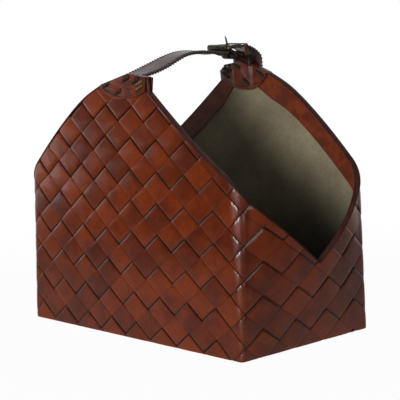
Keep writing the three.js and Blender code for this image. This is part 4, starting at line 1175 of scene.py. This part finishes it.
def buckle_strap():
    """A folded strap, slotted at the bar for the prong."""
    section = strap_section(FOLD_WIDTH, FOLD_THICKNESS, 0)
    piece = sweep_strap(
        "buckle_strap_leather", fold_path(), FOLD_STEPS, lambda point: section, lambda point: 0
    )
    reach = (ROD_RADIUS + CLEARANCE + FOLD_THICKNESS + CLEARANCE) * MM
    place = (0, FRAME_REAR_Y * MM, FRAME_REAR_Z * MM)
    only(piece)
    bpy.ops.mesh.primitive_cube_add(size=1, location=place, scale=(FOLD_SLOT * MM, 2 * reach, 4 * reach))
    cut_with(piece, bpy.context.object)
    soften(piece, 45)
    return give(piece, FOLD, stands_for=["buckle_strap"])


def edge_stitches():
    """Thread whipped over both edges of the handle strap, but not inside the keeper."""
    keeper_from, keeper_to = (FRAME_REAR_Y + reach for reach in WHIP_FREE_OF_KEEPER)
    parts = []
    for way in np.arange(handle_reaches(ARC_START[0]), HANDLE_WAY[-1] - WHIP_END, WHIP_PITCH):
        point, along = handle_at(way)
        if keeper_from < point[0] < keeper_to and point[1] > BACK_PEAK["crest"]:
            continue
        forward, across, up = strap_axes(along, handle_twist(point))
        half, flat = handle_width(point) / 2, STRAP_THICKNESS / 2
        bend = [(half + x, flat + z) for x, z in WHIP_BEND]
        bend += [(half + WHIP_OVERHANG, 0)] + [(x, -z) for x, z in reversed(bend)]
        centre = np.array([0, *point])
        for side in (-1, 1):
            curve = [
                centre + side * x * across + z * up + forward * WHIP_ADVANCE * (k / len(bend) - 0.5)
                for k, (x, z) in enumerate(bend)
            ]
            parts.append(sweep(tube_rings(curve, WHIP_RADII, THREAD_SIDES, forward), False))
    return give(shell("edge_stitches_of_the_strap", *merged(parts), 70), THREAD)


# Keeper and buckle


def strap_keeper():
    """A closed leather loop: a block without its two ends, thickened inwards and rounded."""
    low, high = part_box("strap_keeper")
    bpy.ops.object.select_all(action="DESELECT")
    bpy.ops.mesh.primitive_cube_add(size=1, location=(high + low) / 2, scale=high - low)
    piece = bpy.context.object
    piece.name = "strap_keeper_leather"
    bpy.ops.object.mode_set(mode="EDIT")
    block = bmesh.from_edit_mesh(piece.data)
    ends = [face for face in block.faces if abs(face.normal.y) > 0.9]
    bmesh.ops.delete(block, geom=ends, context="FACES_ONLY")
    for edge in block.edges:
        edge.select_set(abs((edge.verts[0].co - edge.verts[1].co).normalized().y) > 0.9)
    bmesh.update_edit_mesh(piece.data)
    bpy.ops.mesh.bevel(offset=KEEPER_CORNER * MM, segments=5)
    bpy.ops.object.mode_set(mode="OBJECT")
    settle(piece)
    wall = piece.modifiers.new("wall", "SOLIDIFY")
    wall.thickness, wall.offset = KEEPER_THICKNESS * MM, -1
    bevel(piece, SOFT_EDGE, 3, 50)
    apply_all(piece)
    soften(piece)
    return give(piece, KEEPER, stands_for=["strap_keeper"])


def side_bar_height(y):
    """The side bars bow up from the rear bar to the roller."""
    share = max((FRAME_REAR_Y - y) / FRAME_LENGTH, 0)
    return FRAME_REAR_Z + (ROLLER_Z - FRAME_REAR_Z) * share**FRAME_BOW


def buckle_frame():
    """A closed rod: four round corners, with two bowed side bars between them."""
    reach, near, far = FRAME_HALF - FRAME_CORNER, ROLLER_Y + FRAME_CORNER, FRAME_REAR_Y - FRAME_CORNER
    quarter = math.pi / 2
    corners = [(reach, far, quarter), (reach, near, 0), (-reach, near, -quarter), (-reach, far, -math.pi)]
    plan = []
    for i, (x, y, start) in enumerate(corners):
        for angle in start - np.linspace(0, 1, 9) * quarter:
            plan.append((x + FRAME_CORNER * math.cos(angle), y + FRAME_CORNER * math.sin(angle)))
        if i % 2 == 0:
            side_end = near if i == 0 else far
            side = math.copysign(FRAME_HALF, x)
            plan += [(side, y + (side_end - y) * step / 10) for step in range(1, 10)]
    line = np.array([(x, y, side_bar_height(y)) for x, y in plan])
    looped = np.concatenate([line[-2:], line, line[:2]])
    rings = tube_rings(looped, ROD_RADIUS, ROD_SIDES, (0, 0, 1))[2:-2]
    piece = shell("buckle_frame_rod", np.concatenate(rings), ring_faces(len(line), ROD_SIDES, True), 60)
    return give(piece, METAL, "frame", ["buckle_frame"])


def buckle_roller():
    """A tube rolled from sheet: its ends are bored out and its rims rounded."""
    bpy.ops.object.select_all(action="DESELECT")
    bpy.ops.mesh.primitive_cylinder_add(
        vertices=ROLLER_SIDES,
        radius=ROLLER_RADIUS * MM,
        depth=2 * (FRAME_HALF - FRAME_CORNER - CLEARANCE) * MM,
        location=(0, ROLLER_Y * MM, ROLLER_Z * MM),
        rotation=(0, math.pi / 2, 0),
    )
    piece = bpy.context.object
    piece.name = "buckle_roller_tube"
    settle(piece)
    bpy.ops.object.mode_set(mode="EDIT")
    tube = bmesh.from_edit_mesh(piece.data)
    for face in tube.faces:
        face.select_set(abs(face.normal.x) > 0.9)
    bmesh.update_edit_mesh(piece.data)
    bpy.ops.mesh.inset(thickness=(ROLLER_RADIUS - ROD_RADIUS - CLEARANCE) * MM)
    bpy.ops.mesh.bridge_edge_loops()
    bpy.ops.object.mode_set(mode="OBJECT")
    turned_out(piece)
    bevel(piece, SOFT_EDGE, 3, 50)
    apply_all(piece)
    soften(piece)
    return give(piece, METAL, "roller", ["buckle_roller"])


def buckle_prong():
    """A wire curled round the rear bar, which rises through the strap's hole and ends in a point."""
    eye = ROD_RADIUS + CLEARANCE + PRONG_RADIUS
    path = [around_axis(FRAME_REAR_Y, FRAME_REAR_Z, eye, degrees) for degrees in PRONG_EYE_DEGREES]
    path.append(np.array([FRAME_REAR_Y - PRONG_EXIT_REACH, STRAP_LIFT]))
    path.append(np.array([FRAME_REAR_Y - PRONG_TIP_REACH, FRAME_REAR_Z + PRONG_TIP_RISE]))
    flat = spline(path, np.linspace(0, 1, PRONG_STEPS + 1))
    way = way_along(flat)
    left = 1 - way / way[-1]
    taper = PRONG_TIP_SHARE + left * (1 - PRONG_TIP_SHARE) / PRONG_TAPER_SHARE
    line = np.stack([np.zeros(len(flat)), flat[:, 0], flat[:, 1]], axis=-1)
    rings = tube_rings(line, PRONG_RADIUS * np.minimum(1, taper), PRONG_SIDES, (1, 0, 0))
    piece = shell("buckle_prong_wire", *sweep(rings, False), 60)
    return give(piece, METAL, "prong", ["buckle_prong"])


# Studio


def add_camera():
    camera = bpy.data.objects.new("camera", bpy.data.cameras.new("camera"))
    camera.data.lens, camera.data.sensor_width = CAMERA_LENS, CAMERA_SENSOR
    place = Matrix((CAMERA_RIGHT, CAMERA_UP, CAMERA_BACK)).transposed().to_4x4()
    place.translation = CAMERA_PLACE
    camera.matrix_world = place
    bpy.context.scene.collection.objects.link(camera)
    bpy.context.scene.camera = camera


def add_lamp(name, azimuth, elevation, distance, width, height, power):
    """A soft flat lamp that faces the basket's middle."""
    lamp = bpy.data.lights.new(name, "AREA")
    lamp.shape, lamp.size, lamp.size_y, lamp.energy = "RECTANGLE", width, height, power
    around, above = math.radians(azimuth), math.radians(elevation)
    level_reach = math.cos(above)
    direction = Vector((math.cos(around) * level_reach, math.sin(around) * level_reach, math.sin(above)))
    holder = bpy.data.objects.new(name, lamp)
    holder.location = Vector(BASKET_MIDDLE) + direction * distance
    holder.rotation_euler = direction.to_track_quat("Z", "Y").to_euler()
    bpy.context.scene.collection.objects.link(holder)
    return holder


def add_world():
    """White for the camera, white overhead and behind the basket in mirrors, and dim as a light."""
    world = bpy.data.worlds.new("studio")
    finish = Finish(world)
    direction = finish.node("ShaderNodeTexCoord", out="Generated")
    overhead = finish.between(finish.part(direction, "Z"), 0.3, 0.75)
    behind = finish.between(finish.vector("DOT_PRODUCT", direction, AWAY_FROM_CAMERA), 0.6, 0.85)
    kinds = ("Is Camera Ray", "Is Glossy Ray", "Is Transmission Ray")
    camera, mirrored, seen_through = (finish.node("ShaderNodeLightPath", out=kind) for kind in kinds)
    ambient, white = (
        finish.node("ShaderNodeBackground", {}, {"Color": WHITE, "Strength": strength})
        for strength in (AMBIENT, 1)
    )
    share = camera + (mirrored + seen_through) * (overhead + behind)
    mixed = finish.node("ShaderNodeMixShader", {}, {0: share, 1: ambient, 2: white})
    finish.end(mixed, "ShaderNodeOutputWorld")
    bpy.context.scene.world = world


def add_floor():
    """White to the camera with a faint shadow near the basket; mirrors see it near and behind only."""
    bpy.ops.object.select_all(action="DESELECT")
    bpy.ops.mesh.primitive_plane_add(size=FLOOR_SIZE, location=(0, 0, -FLOOR_DROP))
    floor = bpy.context.object
    floor.name = "floor"
    finish = Finish(bpy.data.materials.new("floor_white"))
    place = finish.place()
    far = finish.between(finish.vector("LENGTH", place), 0.35, 1)
    behind = finish.between(finish.vector("DOT_PRODUCT", place, AWAY_FROM_CAMERA), 0.15, 0.6)
    camera, mirrored = (
        finish.node("ShaderNodeLightPath", out=kind) for kind in ("Is Camera Ray", "Is Glossy Ray")
    )
    shaded = finish.node("ShaderNodeBsdfDiffuse", {}, {"Color": FLOOR_GREY})
    dark, bright = (
        finish.node("ShaderNodeEmission", {}, {"Color": colour, "Strength": strength})
        for colour, strength in ((BLACK, 0), (WHITE, 1))
    )
    plain = finish.node("ShaderNodeMixShader", {}, {0: mirrored, 1: shaded, 2: dark})
    share = camera * (0.97 + far * 0.03) + mirrored * ((1 - far) * 0.5 + behind)
    finish.end(finish.node("ShaderNodeMixShader", {}, {0: share, 1: plain, 2: bright}))
    floor.data.materials.append(finish.material)


plaited_wall()
plait_backing()
wall_lining()
rim_facing()
rim_binding("binding_of_the_right_rim", "right_rim_binding", 0)
rim_binding("binding_of_the_left_rim", "left_rim_binding", HALF_TURN)
facing_seam()
floor_cloth()
dress("base_panel", UNDERSIDE)
dress("base_board", BOARD)
tabs_and_lacing("front", -STITCH_SLANT)
tabs_and_lacing("back", STITCH_SLANT)
handle_strap()
buckle_strap()
edge_stitches()
strap_keeper()
buckle_frame()
buckle_roller()
buckle_prong()

add_camera()
add_world()
add_floor()
for lamp in LAMPS:
    add_lamp(*lamp)
add_lamp(*CORNER_GLOW).visible_diffuse = False
bpy.context.scene.view_settings.view_transform = "Standard"
